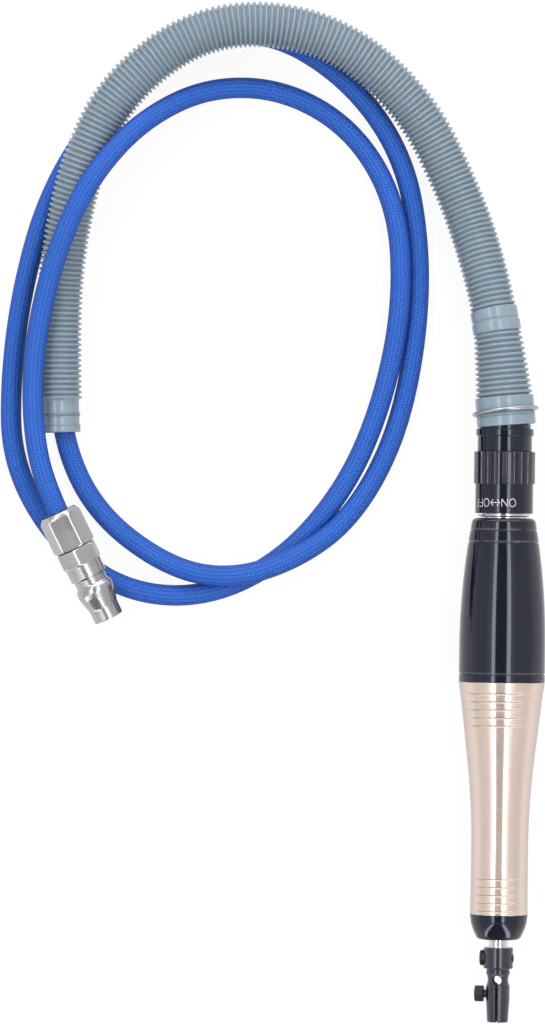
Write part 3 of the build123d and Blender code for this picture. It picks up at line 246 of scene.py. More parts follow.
def turned(outline, angle=round_about, axis=tool_axis, radius=None):
    """Points of an outline carried round an axis: its origin, station along it and radius outwards.

    A radius for each station and angle may stand in for the outline's own.
    """
    origin, along, first, second = axis
    station = outline[:, 0, None, None]
    reach = (outline[:, 1, None] if radius is None else radius) * np.ones_like(angle)
    outwards = np.cos(angle)[:, None] * first + np.sin(angle)[:, None] * second
    return origin + station * along + reach[..., None] * outwards


def shell(name, grids, material, body, replaced=(), capped=False):
    """A closed smooth mesh over grids of points in millimetres, which rides on a body.

    Columns go round and close on the first. Rows close too, or each end row is one flat face
    where capped. The texture runs once round each grid, and in metres along its rows.
    """
    points = np.concatenate([grid.reshape(-1, 3) for grid in grids]) / 1000
    faces = []
    corners = []
    start = 0
    for grid in grids:
        rows, columns = grid.shape[:2]
        index = start + np.arange(rows * columns).reshape(rows, columns)
        start += rows * columns
        if capped:
            faces += [index[0].tolist(), index[-1].tolist()]
            corners.append(np.zeros((2 * columns, 2)))
        else:
            index = np.vstack([index, index[:1]])
        index = np.hstack([index, index[:, :1]])
        quads = np.stack([index[:-1, :-1], index[:-1, 1:], index[1:, 1:], index[1:, :-1]], axis=-1)
        faces += quads.reshape(-1, 4).tolist()
        steps = np.linalg.norm(np.diff(points[index[:, 0]], axis=0), axis=1)
        along = np.concatenate([[0], np.cumsum(steps)])
        place = np.stack(np.meshgrid(np.arange(columns + 1) / columns, along), axis=-1)
        spread = np.stack([place[:-1, :-1], place[:-1, 1:], place[1:, 1:], place[1:, :-1]], axis=2)
        corners.append(spread.reshape(-1, 2))
    mesh = bpy.data.meshes.new(name)
    mesh.from_pydata(points, [], faces)
    mesh.uv_layers.new(name="surface").uv.foreach_set("vector", np.concatenate(corners).ravel())
    mesh.shade_smooth()
    whole = bmesh.new()
    whole.from_mesh(mesh)
    bmesh.ops.recalc_face_normals(whole, faces=whole.faces)
    whole.to_mesh(mesh)
    whole.free()
    mesh.materials.append(material)
    piece = bpy.data.objects.new(name, mesh)
    bpy.context.scene.collection.objects.link(piece)
    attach(piece, body)
    if replaced:
        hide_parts(*replaced)
    return piece


SHAFT_RADIUS = 3.0
TAIL_RADIUS = 2.0
SHAFT_FRONT = -80.55
SHAFT_SHOULDER = 32.05
SHAFT_BACK = 41.45
shaft_outline = open_outline([
    (SHAFT_FRONT, 0, 0.3), (SHAFT_FRONT, SHAFT_RADIUS, 0.3),
    (SHAFT_SHOULDER, SHAFT_RADIUS, 0.2), (SHAFT_SHOULDER, TAIL_RADIUS, 0.1),
    (SHAFT_BACK, TAIL_RADIUS, 0.2), (SHAFT_BACK, 0, 0.2),
])
shell("shaft", [turned(shaft_outline)], bright_steel, "shaft", ["output_shaft"],
      capped=True)

# Return spring: wound from hard bright wire, and set between the front head and the piston's cup. The
# piston squeezes it on the way forward, and is pushed back by it.

SPRING_COILS = 7
SPRING_WIRE = 1.1
COIL_STEPS = 24
spring_low, spring_high = 1000 * np.array(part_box("return_spring"))
spring_length = spring_high[1] - spring_low[1]
coil_radius = (spring_high[2] - spring_low[2] - SPRING_WIRE) / 2
wound = np.linspace(0, 1, COIL_STEPS * SPRING_COILS + 1)
wire_angle = circle(12)
wire_out = coil_radius + SPRING_WIRE / 2 * np.cos(wire_angle)
wire_along = spring_low[1] + SPRING_WIRE / 2 * (1 + np.sin(wire_angle))
coil_turn = (SPRING_COILS * FULL_TURN * wound)[:, None, None]
coil = (
    tool_axis[0]
    + wire_out[:, None] * (np.cos(coil_turn) * tool_axis[2] + np.sin(coil_turn) * tool_axis[3])
    + (wire_along + (spring_length - SPRING_WIRE) * wound[:, None])[..., None] * tool_axis[1]
)
spring = shell("spring", [coil], bright_steel, "housing", ["return_spring"], capped=True)
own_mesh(spring)

# Front housing: the grip, turned from aluminium with an S-shaped flank and two groups of fine
# grooves, then etched satin and anodised champagne. Its spigot screws into the rear housing.

GRIP_FRONT = -64.25
JOINT = 8.35
SPIGOT_BACK = 17.35
GRIP_FRONT_RADIUS = 9.05
GRIP_EDGE = 0.2
GROOVES = 5
GROOVE_PITCH = 2.5
FIRST_GROOVE = 1.2
LAST_GROOVE = 3.5
GROOVE_WIDTH = 0.44
GROOVE_DEPTH = 0.12
GROOVE_LIP = 0.1
STATION_STEP = 0.8
BELLY_RADIUS = 13.49

# Knots of the flank from the nose to the belly: station, radius and slope
flank_knots = np.array([
    (GRIP_FRONT, GRIP_FRONT_RADIUS, -0.015),
    (-44.05, 8.9, 0.0),
    (-20.05, 10.05, 0.098),
    (-7.45, 11.5, 0.122),
    (JOINT, BELLY_RADIUS, 0.15),
])


def flank(station):
    """Radius of the grip: cubic between knots, which it leaves and meets at their slopes."""
    begin = np.clip(np.searchsorted(flank_knots[:, 0], station, side="right") - 1, 0, len(flank_knots) - 2)
    y0, r0, m0 = flank_knots[begin].T
    y1, r1, m1 = flank_knots[begin + 1].T
    span = y1 - y0
    t = (station - y0) / span
    rise = (3 - 2 * t) * t**2
    return r0 + (r1 - r0) * rise + span * (m0 * t * (1 - t) ** 2 - m1 * t**2 * (1 - t))


def groove_share(stations, grooves):
    """How deep a station lies in a groove: 1 on its floor, 0 outside it, with a rounded lip between."""
    away = np.abs(stations[:, None] - np.array(grooves)).min(axis=1)
    share = np.clip((GROOVE_WIDTH / 2 + GROOVE_LIP - away) / (2 * GROOVE_LIP), 0, 1)
    return (3 - 2 * share) * share**2


def edge_drop(distance, edge):
    """How far a quarter-round edge has dropped at a distance from its end face."""
    inside = np.clip(edge - distance, 0, edge)
    return edge - np.sqrt(edge**2 - inside**2)


def flank_stations(start, end, grooves):
    """Stations along a flank: even steps, with more of them at both ends and across each groove."""
    near = np.array([-0.6, -0.42, -0.36, -0.32, -0.28, -0.24, -0.2, -0.16, -0.12])
    near = np.concatenate([near, [0], -near])
    edge = np.array([0.0, 0.02, 0.06, 0.12, 0.2, 0.3, 0.45, 0.65, 0.9, 1.2])
    extra = [start + edge, end - edge, (np.array(grooves)[:, None] + near).ravel()]
    return np.unique(np.round(np.concatenate([np.arange(start, end, STATION_STEP)] + extra), 3))


groove_steps = GROOVE_PITCH * np.arange(GROOVES)
front_grooves = GRIP_FRONT + FIRST_GROOVE + groove_steps
grip_grooves = np.concatenate([front_grooves, JOINT - LAST_GROOVE - groove_steps])
stations = flank_stations(GRIP_FRONT, JOINT, grip_grooves)
in_groove = groove_share(stations, grip_grooves)
radius = flank(stations) - GROOVE_DEPTH * in_groove
radius = radius - edge_drop(stations - GRIP_FRONT, GRIP_EDGE) - edge_drop(JOINT - stations, GRIP_EDGE)
grip_inside = open_outline([
    (JOINT, 13.2), (JOINT, 10.9),
    (12.2, 10.9), (12.2, 9.9),
    (13.5, 9.9), (13.5, 10.9),
    (SPIGOT_BACK, 10.9, 0.2), (SPIGOT_BACK, 9.4, 0.1),
    (4.35, 9.4), (4.35, 7.0),
    (-7.65, 7.0), (-7.65, 4.6),
    (-58.25, 4.6), (-58.25, 7.0),
    (GRIP_FRONT, 7.0), (GRIP_FRONT, 8.8),
], steps=3)
grip_outline = np.vstack([np.column_stack([stations, radius]), grip_inside])

# The etch leaves specks far smaller than the eye sees, some still polished and some dull
ETCH_SIZE = 0.02
ETCH_RANGE = (0.5, 0.58)
POLISHED = 0.125
DULL = 0.52
champagne, tree, shader = finish("champagne", {
    "Metallic": 1.0,
    "Specular Tint": (0.4, 0.4, 0.4, 1),
    "Coat Weight": 1.0,
    "Coat Roughness": 0.22,
})
rings = used(tree, turning, Pitch=0.25)
etched = ranged(tree, used(tree, grain, Size=ETCH_SIZE), *ETCH_RANGE, POLISHED, DULL)
surfaced(tree, shader, tint(tree, rings, (0.75, 0.61, 0.535), (0.785, 0.64, 0.565)), etched, rings, 8e-7)
grip = shell("grip", [turned(grip_outline)], champagne, "housing", ["front_housing"])


def mark(piece, name, share):
    """Give each point of a piece a share from 0 to 1, under a name."""
    piece.data.attributes.new(name, "FLOAT", "POINT").data.foreach_set("value", share.ravel())


def marking(material, name):
    """A material's nodes, its shader, and the share that its points have under a name."""
    tree = material.node_tree
    share = node(tree, "ShaderNodeAttribute", attribute_name=name).outputs["Fac"]
    return tree, tree.nodes["Principled BSDF"], share


def overlay(tree, shader, factor, colour):
    """Lay a colour over the one that the shader has, as far as the factor goes."""
    under = shader.inputs["Base Color"].links[0].from_socket
    tree.links.new(mixed(tree, factor, under, (*colour, 1)), shader.inputs["Base Color"])


def covered(material, name, colour, roughness):
    """Lay a colour over a finish by the share under a name.

    The finish is then as rough as it was, or as that share of the roughness where that is more.
    """
    tree, shader, share = marking(material, name)
    overlay(tree, shader, share, colour)
    gloss_or_highlight = shader.inputs["Roughness"].links[0].from_socket
    dull = maths(tree, "MULTIPLY", share, roughness)
    tree.links.new(maths(tree, "MAXIMUM", gloss_or_highlight, dull), shader.inputs["Roughness"])


# Painted shade in the grooves on the upper side of the grip, where the grooves are also duller
GROOVE_SHADE_TOP = np.radians(99.0)
GROOVE_SHADE_END = 0.66
GROOVE_SHADE_FADE = 0.2
shaded_side = np.clip((np.cos(round_about - GROOVE_SHADE_TOP) - GROOVE_SHADE_END) / GROOVE_SHADE_FADE, 0, 1)
mark(grip, "groove_shade", np.concatenate([in_groove, np.zeros(len(grip_inside))])[:, None] * shaded_side)
covered(champagne, "groove_shade", colour=(0.47, 0.36, 0.315), roughness=0.45)

# Nose cap: a bowl turned from aluminium and anodised a glossy black. It screws into the front of
# the grip, guides dust away from the shaft and holds the wiper.

NOSE_FRONT = -72.05
BOWL_LENGTH = GRIP_FRONT - NOSE_FRONT
TAPER_LENGTH = 2.3
TAPER_SLOPE = 0.07
TAPER_CURVE = 0.015
FALL_SLOPE = 0.2
FALL_CURVE = 0.04
FACE_ROUND = 0.8
black_gloss = {"Specular IOR Level": 0.61, "Specular Tint": (0.84, 0.87, 1, 1)}
black_anodised = turned_finish("black_anodised", (0.0028, 0.0034, 0.0105), (0.0038, 0.0044, 0.0125), 0.09,
                               pitch=0.4, depth=4e-7, fixed=black_gloss)


def bowl_radius(ahead):
    """Radius of the nose ahead of the grip: a taper and a fall, two parabolas with a crease between."""
    taper = np.minimum(ahead, TAPER_LENGTH)
    past = np.clip(ahead - TAPER_LENGTH, 0, None)
    tapered = TAPER_SLOPE * taper + TAPER_CURVE * taper**2
    fallen = FALL_SLOPE * past + FALL_CURVE * past**2
    return GRIP_FRONT_RADIUS - tapered - fallen


ahead = np.concatenate([
    [0, 0.02, 0.06, 0.12, 0.2, 0.4],
    np.linspace(0.8, TAPER_LENGTH - 0.15, 4),
    np.linspace(TAPER_LENGTH - 0.05, BOWL_LENGTH - FACE_ROUND - 0.1, 24),
])
bowl = np.column_stack([GRIP_FRONT - ahead, bowl_radius(ahead) - edge_drop(ahead, edge=0.15)])
nose_inside = open_outline([
    (NOSE_FRONT + FACE_ROUND, bowl_radius(BOWL_LENGTH - FACE_ROUND), 0.02),
    (NOSE_FRONT, bowl_radius(BOWL_LENGTH), 0.75),
    (NOSE_FRONT, 3.4, 0.15),
    (-66.25, 3.4), (-66.25, 5.2),
    (-60.25, 5.2), (-60.25, 7.0, 0.2),
    (GRIP_FRONT, 7.0), (GRIP_FRONT, 8.6),
], steps=8)
nose_outline = np.vstack([bowl, nose_inside])
shell("nose", [turned(nose_outline)], black_anodised, "housing", ["nose_cap"])

# Tool holder: turned from steel bar and blackened. A hole is drilled across its waist and a slot sawn
# from the tip to the hole, which leaves two jaws for the tool's shank. Its collar sits on the shaft.

TIP = -97.95
HOLDER_TURN = np.radians(10.0)
HOLE_STATION = 13.2
HOLE_RADIUS = 1.5
SLOT_HALF = 0.35
JAW_END = 15.2
JAW_RADIUS = 3.7
TIP_RADIUS = 3.25
TAPER_END = 7.3
WAIST_STATION = 13.25
WAIST_HALF = 1.95
WAIST_DEPTH = 0.5
JAW_BEVEL = 0.035
BEVEL_DROP = 0.12
ARC_POINTS = 44
WALL_POINTS = 7
across = np.array([-np.cos(HOLDER_TURN), 0, -np.sin(HOLDER_TURN)])
upright = np.array([-np.sin(HOLDER_TURN), 0, np.cos(HOLDER_TURN)])
steel_gloss = {"Specular IOR Level": 0.9, "Specular Tint": (0.86, 0.88, 1, 1)}
blackened_steel = turned_finish("blackened_steel", (0.006, 0.0065, 0.013), (0.017, 0.0175, 0.027), 0.2,
                                pitch=0.35, depth=2e-6, fixed=steel_gloss)

# Stations along a jaw, close together at its tip and round the cross hole
jaw_station = np.unique(np.round(np.concatenate([
    [0, 0.05, 0.12, 0.2, 0.32, 0.6],
    np.linspace(1, 11, 14),
    np.linspace(11.2, JAW_END, 12),
    HOLE_STATION + HOLE_RADIUS * np.sin(np.linspace(-1.33, 1.57, 26)),
]), 3))
jaw_radius = np.interp(jaw_station, [0, TAPER_END], [TIP_RADIUS, JAW_RADIUS])
waist = np.clip(1 - ((jaw_station - WAIST_STATION) / WAIST_HALF) ** 2, 0, 1)
jaw_radius = jaw_radius - WAIST_DEPTH * waist - edge_drop(jaw_station, edge=0.3)
from_hole = np.clip(HOLE_RADIUS**2 - (jaw_station - HOLE_STATION) ** 2, 0, None) ** 0.5
slot = np.where(jaw_station < HOLE_STATION, np.maximum(SLOT_HALF, from_hole), from_hole)


def jaw(side):
    """One jaw: at each station an arc of the turned radius, closed by the wall along slot and hole.

    The arc starts and ends just short of the wall, which leaves a narrow bevel.
    """
    radius = jaw_radius[:, None]
    half = slot[:, None]
    arc = np.linspace(0, 1, ARC_POINTS)
    edge = np.arcsin(half / radius) + JAW_BEVEL
    turn = edge + (np.pi - 2 * edge) * arc
    height = np.sqrt(radius**2 - half**2) - BEVEL_DROP
    wall = np.linspace(-1, 1, WALL_POINTS)
    sideways = np.hstack([radius * np.sin(turn), half + 0 * wall])
    upwards = np.hstack([radius * np.cos(turn), height * wall])
    station = (TIP + jaw_station)[:, None, None] * np.array([0, 1, 0])
    return tool_axis[0] + station + side * sideways[..., None] * across + upwards[..., None] * upright


collar_outline = open_outline([
    (JAW_END - 0.3, 0, 0.1), (JAW_END - 0.3, 3.55),
    (JAW_END, JAW_RADIUS),
    (16.0, JAW_RADIUS, 0.1),
    (16.1, 3.6, 0.08),
    (16.6, 3.6, 0.08),
    (16.8, 3.9, 0.08), (16.8, 4.6, 0.3),
    (23.3, 4.6, 0.3), (23.3, 3.02, 0.1),
    (17.4, 3.02, 0.1), (17.4, 0, 0.1),
]) + (TIP, 0)
collar = turned(collar_outline)
holder = shell("holder", [jaw(1), jaw(-1), collar], blackened_steel, "shaft",
               ["tool_holder"], capped=True)

# The walls of slot and hole are left duller than the rest, as the saw and drill cut them, and are darker
# with painted shade
on_wall = np.repeat([0.0, 1.0], [ARC_POINTS, WALL_POINTS])
on_wall = np.tile(on_wall, 2 * len(jaw_station))
mark(holder, "dull_shaded_wall", np.concatenate([on_wall, np.zeros(collar[..., 0].size)]))
covered(blackened_steel, "dull_shaded_wall", colour=(0.002, 0.002, 0.003), roughness=0.9)

# Holder screws: two socket screws of steel in black oxide, which cross the holder. The one sunk in
# the collar fastens the holder on the shaft, and the knurled one closes the jaws.

SOCKET_HALF = 1.0
SOCKET_CORNER = 0.08
SOCKET_FLARE = 1.12
NOTCH_HALF = 0.34
SCREW_RADIUS = 1.25
SCREW_STEPS = 192
oxide = turned_finish("oxide_screw", (0.009, 0.009, 0.0105), (0.018, 0.018, 0.020), 0.34, pitch=0.3,
                      depth=3e-6, fixed={"Metallic": 0.25, "Specular IOR Level": 0.45})


def hexagon(angle, half, corner):
    """Radius of a hexagon with rounded corners: straight flats, and an arc about each corner's centre."""
    from_flat = (angle + np.pi / 6) % (np.pi / 3) - np.pi / 6
    from_corner = np.pi / 6 - np.abs(from_flat)
    centre = (half - corner) / np.cos(np.pi / 6)
    reach = np.clip(corner**2 - (centre * np.sin(from_corner)) ** 2, 0, None)
    arc = centre * np.cos(from_corner) + np.sqrt(reach)
    on_flat = half * np.tan(np.abs(from_flat)) < (half - corner) * np.tan(np.pi / 6)
    return np.where(on_flat, half / np.cos(from_flat), arc)


def socket_screw(station, outline, socket_floor, knurls=1, knurl_depth=0, knurl_rows=(0, 0, 0)):
    """Socket screw across the tool's axis: its outline carried round, with notches where it is knurled.

    Knurled rows lie between two stations and outside a radius. The last rows, from the socket's mouth
    down, are hexagons.
    """
    angle = circle(SCREW_STEPS)
    axis = np.array([tool_axis[0] + station * tool_axis[1], across, (0, 1, 0), upright])
    mouth = outline[-1, 0]
    steps = np.array([(mouth, SOCKET_FLARE), (mouth - SOCKET_CORNER, 1), (socket_floor, 1)])
    rows = np.vstack([outline, np.column_stack([steps[:, 0], steps[:, 1] * SOCKET_HALF])])
    radius = rows[:, 1, None] * np.ones_like(angle)
    away = np.abs((angle * knurls / FULL_TURN + 0.5) % 1 - 0.5)
    notch = knurl_depth * np.clip(1 - away / NOTCH_HALF, 0, 1)
    knurled = (rows[:, 0] > knurl_rows[0]) & (rows[:, 0] < knurl_rows[1]) & (rows[:, 1] > knurl_rows[2])
    radius = radius - knurled[:, None] * notch
    radius[-3:] = steps[:, 1, None] * hexagon(angle, SOCKET_HALF, SOCKET_CORNER)
    return turned(rows, angle, axis, radius)


jaw_screw_outline = open_outline([
    (-3.3, 0, 0.1), (-3.3, SCREW_RADIUS, 0.25),
    (4.4, SCREW_RADIUS, 0.1), (4.4, 2.5, 0.3),
    (7.2, 2.5, 0.35), (7.2, 1.3),
])
jaw_screw = socket_screw(TIP + 8.8, jaw_screw_outline, socket_floor=5.8, knurls=24, knurl_depth=0.16,
                         knurl_rows=(4.45, 7.15, 2.3))
shell("jaw_clamp_screw", [jaw_screw], oxide, "jaw_screw", ["jaw_screw"], capped=True)

holder_screw_outline = open_outline([
    (-4.8, 0, 0.1), (-4.8, SCREW_RADIUS, 0.25),
    (3.9, SCREW_RADIUS, 0.1), (3.9, 2.45, 0.1),
    (5.7, 2.45, 0.5), (5.7, 1.3),
])
holder_screw = socket_screw(TIP + 20.0, holder_screw_outline, socket_floor=4.8)
shell("holder_cross_screw", [holder_screw], oxide, "shaft", ["holder_screw"],
      capped=True)

# Rear housing: black anodised barrel, straight at the belly, then falling along one arc to the
# neck, with one groove in front and two behind. It screws over the grip's spigot.

HOUSING_BACK = 59.55
BELLY_LENGTH = 10.6
HOUSING_BACK_RADIUS = 9.8
HOUSING_FRONT_EDGE = 0.25
HOUSING_BACK_EDGE = 1.3
HOUSING_GROOVE_DEPTH = 0.2
fall_length = HOUSING_BACK - JOINT - BELLY_LENGTH
fall_depth = BELLY_RADIUS - HOUSING_BACK_RADIUS
fall_arc = (fall_length**2 + fall_depth**2) / (2 * fall_depth)
housing_grooves = [JOINT + 2.55, HOUSING_BACK - 3.8, HOUSING_BACK - 7.55]
stations = flank_stations(JOINT, HOUSING_BACK, housing_grooves)
past_belly = np.clip(stations - JOINT - BELLY_LENGTH, 0, None)
radius = BELLY_RADIUS - fall_arc + np.sqrt(fall_arc**2 - past_belly**2)
radius = radius - HOUSING_GROOVE_DEPTH * groove_share(stations, housing_grooves)
radius = radius - edge_drop(stations - JOINT, HOUSING_FRONT_EDGE)
radius = radius - edge_drop(HOUSING_BACK - stations, HOUSING_BACK_EDGE)
housing_inside = open_outline([
    (HOUSING_BACK, 8.6, 0.1), (HOUSING_BACK, 7.25, 0.1),
    (48.05, 7.25), (48.05, 9.4),
    (SPIGOT_BACK, 9.4), (SPIGOT_BACK, 10.95),
    (JOINT, 10.95), (JOINT, 13.1),
], steps=3)
housing_outline = np.vstack([np.column_stack([stations, radius]), housing_inside])
barrel = shell("barrel", [turned(housing_outline)], black_anodised, "housing",
               ["rear_housing"])

# Painted highlight along an edge: its share, more in some patches than in others
edge_highlight, sizes = effect("edge_highlight", {"Edge": 0.0, "Smear": 1.0, "Least": 1.0}, "Highlit")
patch = ranged(edge_highlight, sizes["Smear"], 0, 1, sizes["Least"], 1)
node(edge_highlight, "NodeGroupOutput", [maths(edge_highlight, "MULTIPLY", sizes["Edge"], patch)])


def highlight_edges(material, name, metal, patch, least):
    """Lay a painted highlight, in the colour given as metal, over a finish by the share under a name, in
    patches that keep a least part of it.
    """
    tree, shader, edge = marking(material, name)
    smear = used(tree, handling, Size=patch)
    overlay(tree, shader, used(tree, edge_highlight, Edge=edge, Smear=smear, Least=least), metal)


# A painted highlight on the back edge of each groove
LIP_BEHIND = 0.27
LIP_WIDTH = 0.2
behind = stations[:, None] - np.array(housing_grooves)
lip_highlight_share = np.exp(-(((behind - LIP_BEHIND) / LIP_WIDTH) ** 2)).max(axis=1)
lip_highlight_share = np.concatenate([lip_highlight_share, np.zeros(len(housing_inside))])
mark(barrel, "lip_highlight", np.repeat(lip_highlight_share, ROUND_STEPS))
highlight_edges(black_anodised, "lip_highlight", metal=(0.16, 0.16, 0.175), patch=4.0, least=0.0)

# Valve spindle: turned from steel and left bright, with air ways along it. It is pressed into the
# rear housing, and of its whole length only the neck shows, between housing and valve ring.

NECK_BACK = 60.80
CAP_FRONT = 80.45
spindle_outline = rounded([
    (48.05, 1.6), (48.05, 7.2, 0.2),
    (53.15, 7.2), (53.15, 6.2),
    (54.45, 6.2), (54.45, 7.2),
    (59.95, 7.2),
    (59.97, 7.6, 0.08),
    (60.22, 8.33, 0.1),
    (NECK_BACK, 8.36, 0.06), (NECK_BACK, 6.5),
    (62.6, 6.5), (62.6, 5.5),
    (63.9, 5.5), (63.9, 6.5),
    (74.45, 6.5), (74.45, 5.5),
    (75.75, 5.5), (75.75, 6.5),
    (CAP_FRONT, 6.5, 0.1), (CAP_FRONT, 5.58),
    (87.05, 5.58, 0.1), (87.05, 2.6),
    (79.05, 2.6), (79.05, 1.6),
], steps=4)
shell("neck", [turned(spindle_outline)], bright_steel, "housing", ["valve_spindle"])

# Valve ring: turned from aluminium, milled with flutes for the fingers and anodised black. It turns
# on the spindle between housing and rear cap, and its plain band carries the marks.

RING_FRONT = 60.95
RING_STEP = 70.2
RING_BACK = 80.3
BAND_RADIUS = 9.05
GRIP_RADIUS = 9.55
FLUTES = 23
FIRST_FLUTE = 92.0
FLUTE_RADIUS = 0.52
FLUTE_DEPTH = 0.48
FLUTE_RIM = 3.1
RIM_BLEND = 0.03
ring_outline = rounded([
    (RING_FRONT, 6.55), (RING_FRONT, BAND_RADIUS, 0.3),
    (RING_STEP, BAND_RADIUS, 0.06), (RING_STEP, GRIP_RADIUS, 0.12),
    (RING_BACK, GRIP_RADIUS, 0.45), (RING_BACK, 7.85, 0.1),
    (77.65, 7.85), (77.65, 6.55),
])
flute_side = np.array([0.6, 1.2, 1.8, 2.3, 2.6, 2.8, 2.95, FLUTE_RIM, 3.25, 3.45, 3.8, 4.6])
flute_step = np.concatenate([-flute_side[::-1], [0], flute_side, [6.2, 7.8, 9.4]])
flute_middle = FIRST_FLUTE + 360 / FLUTES * np.arange(FLUTES)


def soft_least(one, other, blend):
    """The lesser of two radii, with a rounded change from one to the other."""
    return -blend * np.log(np.exp(-one / blend) + np.exp(-other / blend))


ring_angle = np.radians(flute_middle[:, None] + flute_step).ravel()
from_middle = np.tile(flute_step, FLUTES)
from_flute = np.radians(from_middle)
flute_centre = GRIP_RADIUS + FLUTE_RADIUS - FLUTE_DEPTH
hollow = np.clip(FLUTE_RADIUS**2 - (flute_centre * np.sin(from_flute)) ** 2, 0, None)
flute_floor = np.where(hollow > 0, flute_centre * np.cos(from_flute) - np.sqrt(hollow), 2 * GRIP_RADIUS)
ring_radius = ring_outline[:, 1, None] * np.ones_like(ring_angle)
fluted = (ring_outline[:, 0] > RING_STEP - 0.01) & (ring_outline[:, 1] > BAND_RADIUS + 0.05)
ring_radius = np.where(fluted[:, None], soft_least(ring_radius, flute_floor, RIM_BLEND), ring_radius)
ring_black = turned_finish("ring_black", (0.0022, 0.0026, 0.0085), (0.0032, 0.0036, 0.0105), 0.12,
                           pitch=0.4, depth=6e-7, fixed=black_gloss)
ring_points = turned(ring_outline, ring_angle, radius=ring_radius)
turn_ring = shell("turn_ring", [ring_points], ring_black, "valve_ring", ["valve_ring"])

# A painted highlight along the sharp rims of the flutes, here more and there less
RIM_WIDTH = 0.45
from_rim = (np.abs(from_middle) - FLUTE_RIM) / RIM_WIDTH
mark(turn_ring, "rim_highlight", fluted[:, None] * np.exp(-from_rim**2))
highlight_edges(ring_black, "rim_highlight", metal=(0.27, 0.27, 0.285), patch=3.0, least=0.35)

# Marks on the band: which way the ring turns the air on and off, printed in thin white ink and read
# from the hose's end, as the user sees them.

MARK_HEIGHT = 2.45
MARK_TOP = 63.1
MARK_PEN = 0.25
MARK_SHIFT = 3.8
INK = 0.015
STRAIGHT_STEPS = 8
turn = np.linspace(0, FULL_TURN, 33)
letter_o = [0.5 + 0.5 * np.column_stack([np.cos(turn), np.sin(turn)])]
letter_n = [[(0, 0), (0, 1)], [(0, 1), (1, 0)], [(1, 0), (1, 1)]]
letter_f = [[(0, 0), (0, 1)], [(0, 1), (1, 1)], [(0, 0.52), (0.8, 0.52)]]
arrow = [
    [(0, 0.5), (1, 0.5)],
    [(0.28, 0.92), (0, 0.5), (0.28, 0.08)],
    [(0.72, 0.92), (1, 0.5), (0.72, 0.08)],
]


def printed(line, width, middle):
    """A stroke on the band: its line in letter units, wrapped round from a middle angle as a thin strip."""
    line = np.array(line, float)
    corner = np.arange(len(line))
    finer = STRAIGHT_STEPS if len(line) < len(turn) else 1
    share = np.linspace(0, corner[-1], finer * corner[-1] + 1)
    across_band = (np.interp(share, corner, line[:, 0]) - 0.5) * width
    up_letter = np.interp(share, corner, line[:, 1]) * MARK_HEIGHT
    path = np.column_stack([across_band, up_letter])
    ahead = unit(np.gradient(path, axis=0))
    beside = np.column_stack([-ahead[:, 1], ahead[:, 0]]) * MARK_PEN / 2
    edges = np.stack([path - beside, path - beside, path + beside, path + beside], axis=1)
    radius = BAND_RADIUS + INK * np.array([-1, 1, 1, -1])
    angle = np.radians(90 + middle + MARK_SHIFT) + edges[..., 0] / BAND_RADIUS
    station = MARK_TOP + MARK_HEIGHT - edges[..., 1]
    return np.stack([radius * np.cos(angle), station, AXIS_HEIGHT + radius * np.sin(angle)], axis=-1)


mark_places = [
    (letter_o, 2.0, -18.5),
    (letter_n, 1.75, -2.5),
    (arrow, 2.9, 16.5),
    (letter_o, 2.0, 36.0),
    (letter_f, 1.35, 50.5),
    (letter_f, 1.35, 63.5),
]
strokes = [printed(line, width, middle) for lines, width, middle in mark_places for line in lines]
white_ink = grained_finish("white_ink", (0.52, 0.52, 0.55), (0.72, 0.72, 0.74), 0.5, size=0.12)
shell("valve_marks", strokes, white_ink, "valve_ring", capped=True)

# Rear cap: turned from aluminium and anodised black, with a rim and a spigot inside the sleeve. It
# screws on the spindle's tail, holds the valve ring in place and gathers the exhaust air.

CAP_BACK = 88.95
CAP_SEAT = RING_BACK + 0.03
cap_outline = rounded([
    (CAP_SEAT, 5.62), (CAP_SEAT, 8.5, 0.2),
    (85.15, 8.5, 0.08), (85.15, 9.0, 0.3),
    (87.45, 9.0, 0.4), (87.45, 8.1, 0.1),
    (CAP_BACK, 8.1, 0.2), (CAP_BACK, 7.4),
    (97.95, 7.4, 0.3), (97.95, 5.6, 0.1),
    (92.45, 5.6), (92.45, 6.4),
    (87.05, 6.4), (87.05, 5.62),
])
shell("end_cap", [turned(cap_outline)], black_anodised, "housing", ["rear_cap"])

# Exhaust sleeve: soft ribbed plastic that leads the exhaust air away. A cuff grips the rear cap,
# the ribs taper to a plain double band, then run on to a slim cuff at the open mouth.

sleeve_route = np.array([
    (0.45, -0.45, 13.5), (-1.55, 22.5, 13.5), (-5.8, 45, 11.5), (-14.3, 71, 6.9),
    (-29.8, 101.5, 8.2), (-58, 123, 12.8), (-94, 124.5, 14.8), (-121.6, 104.6, 14.6),
    (-133.7, 79, 14), (-139.7, 49, 8.5), (-140.2, 19, 7.4), (-139.2, -4.4, 7.4),
]) / 1000
sleeve_route[:, 1] += CAP_BACK / 1000


def smooth_line(name, route):
    """Points along a smooth line that a route, in metres, pulls after it as its control points."""
    curve = bpy.data.curves.new(name, "CURVE")
    curve.dimensions = "3D"
    curve.resolution_u = 24
    spline = curve.splines.new("NURBS")
    spline.points.add(len(route) - 1)
    spline.points.foreach_set("co", np.column_stack([route, np.ones(len(route))]).ravel())
    spline.order_u = 3
    spline.use_endpoint_u = True
    carrier = bpy.data.objects.new(name, curve)
    line = bpy.data.meshes.new_from_object(carrier)
    points = np.zeros(3 * len(line.vertices))
    line.vertices.foreach_get("co", points)
    bpy.data.objects.remove(carrier)
    bpy.data.curves.remove(curve)
    bpy.data.meshes.remove(line)
    return points.reshape(-1, 3)


def distances(line):
    """Distance of each point of a line from its first point."""
    return np.concatenate([[0], np.cumsum(np.linalg.norm(np.diff(line, axis=0), axis=1))])


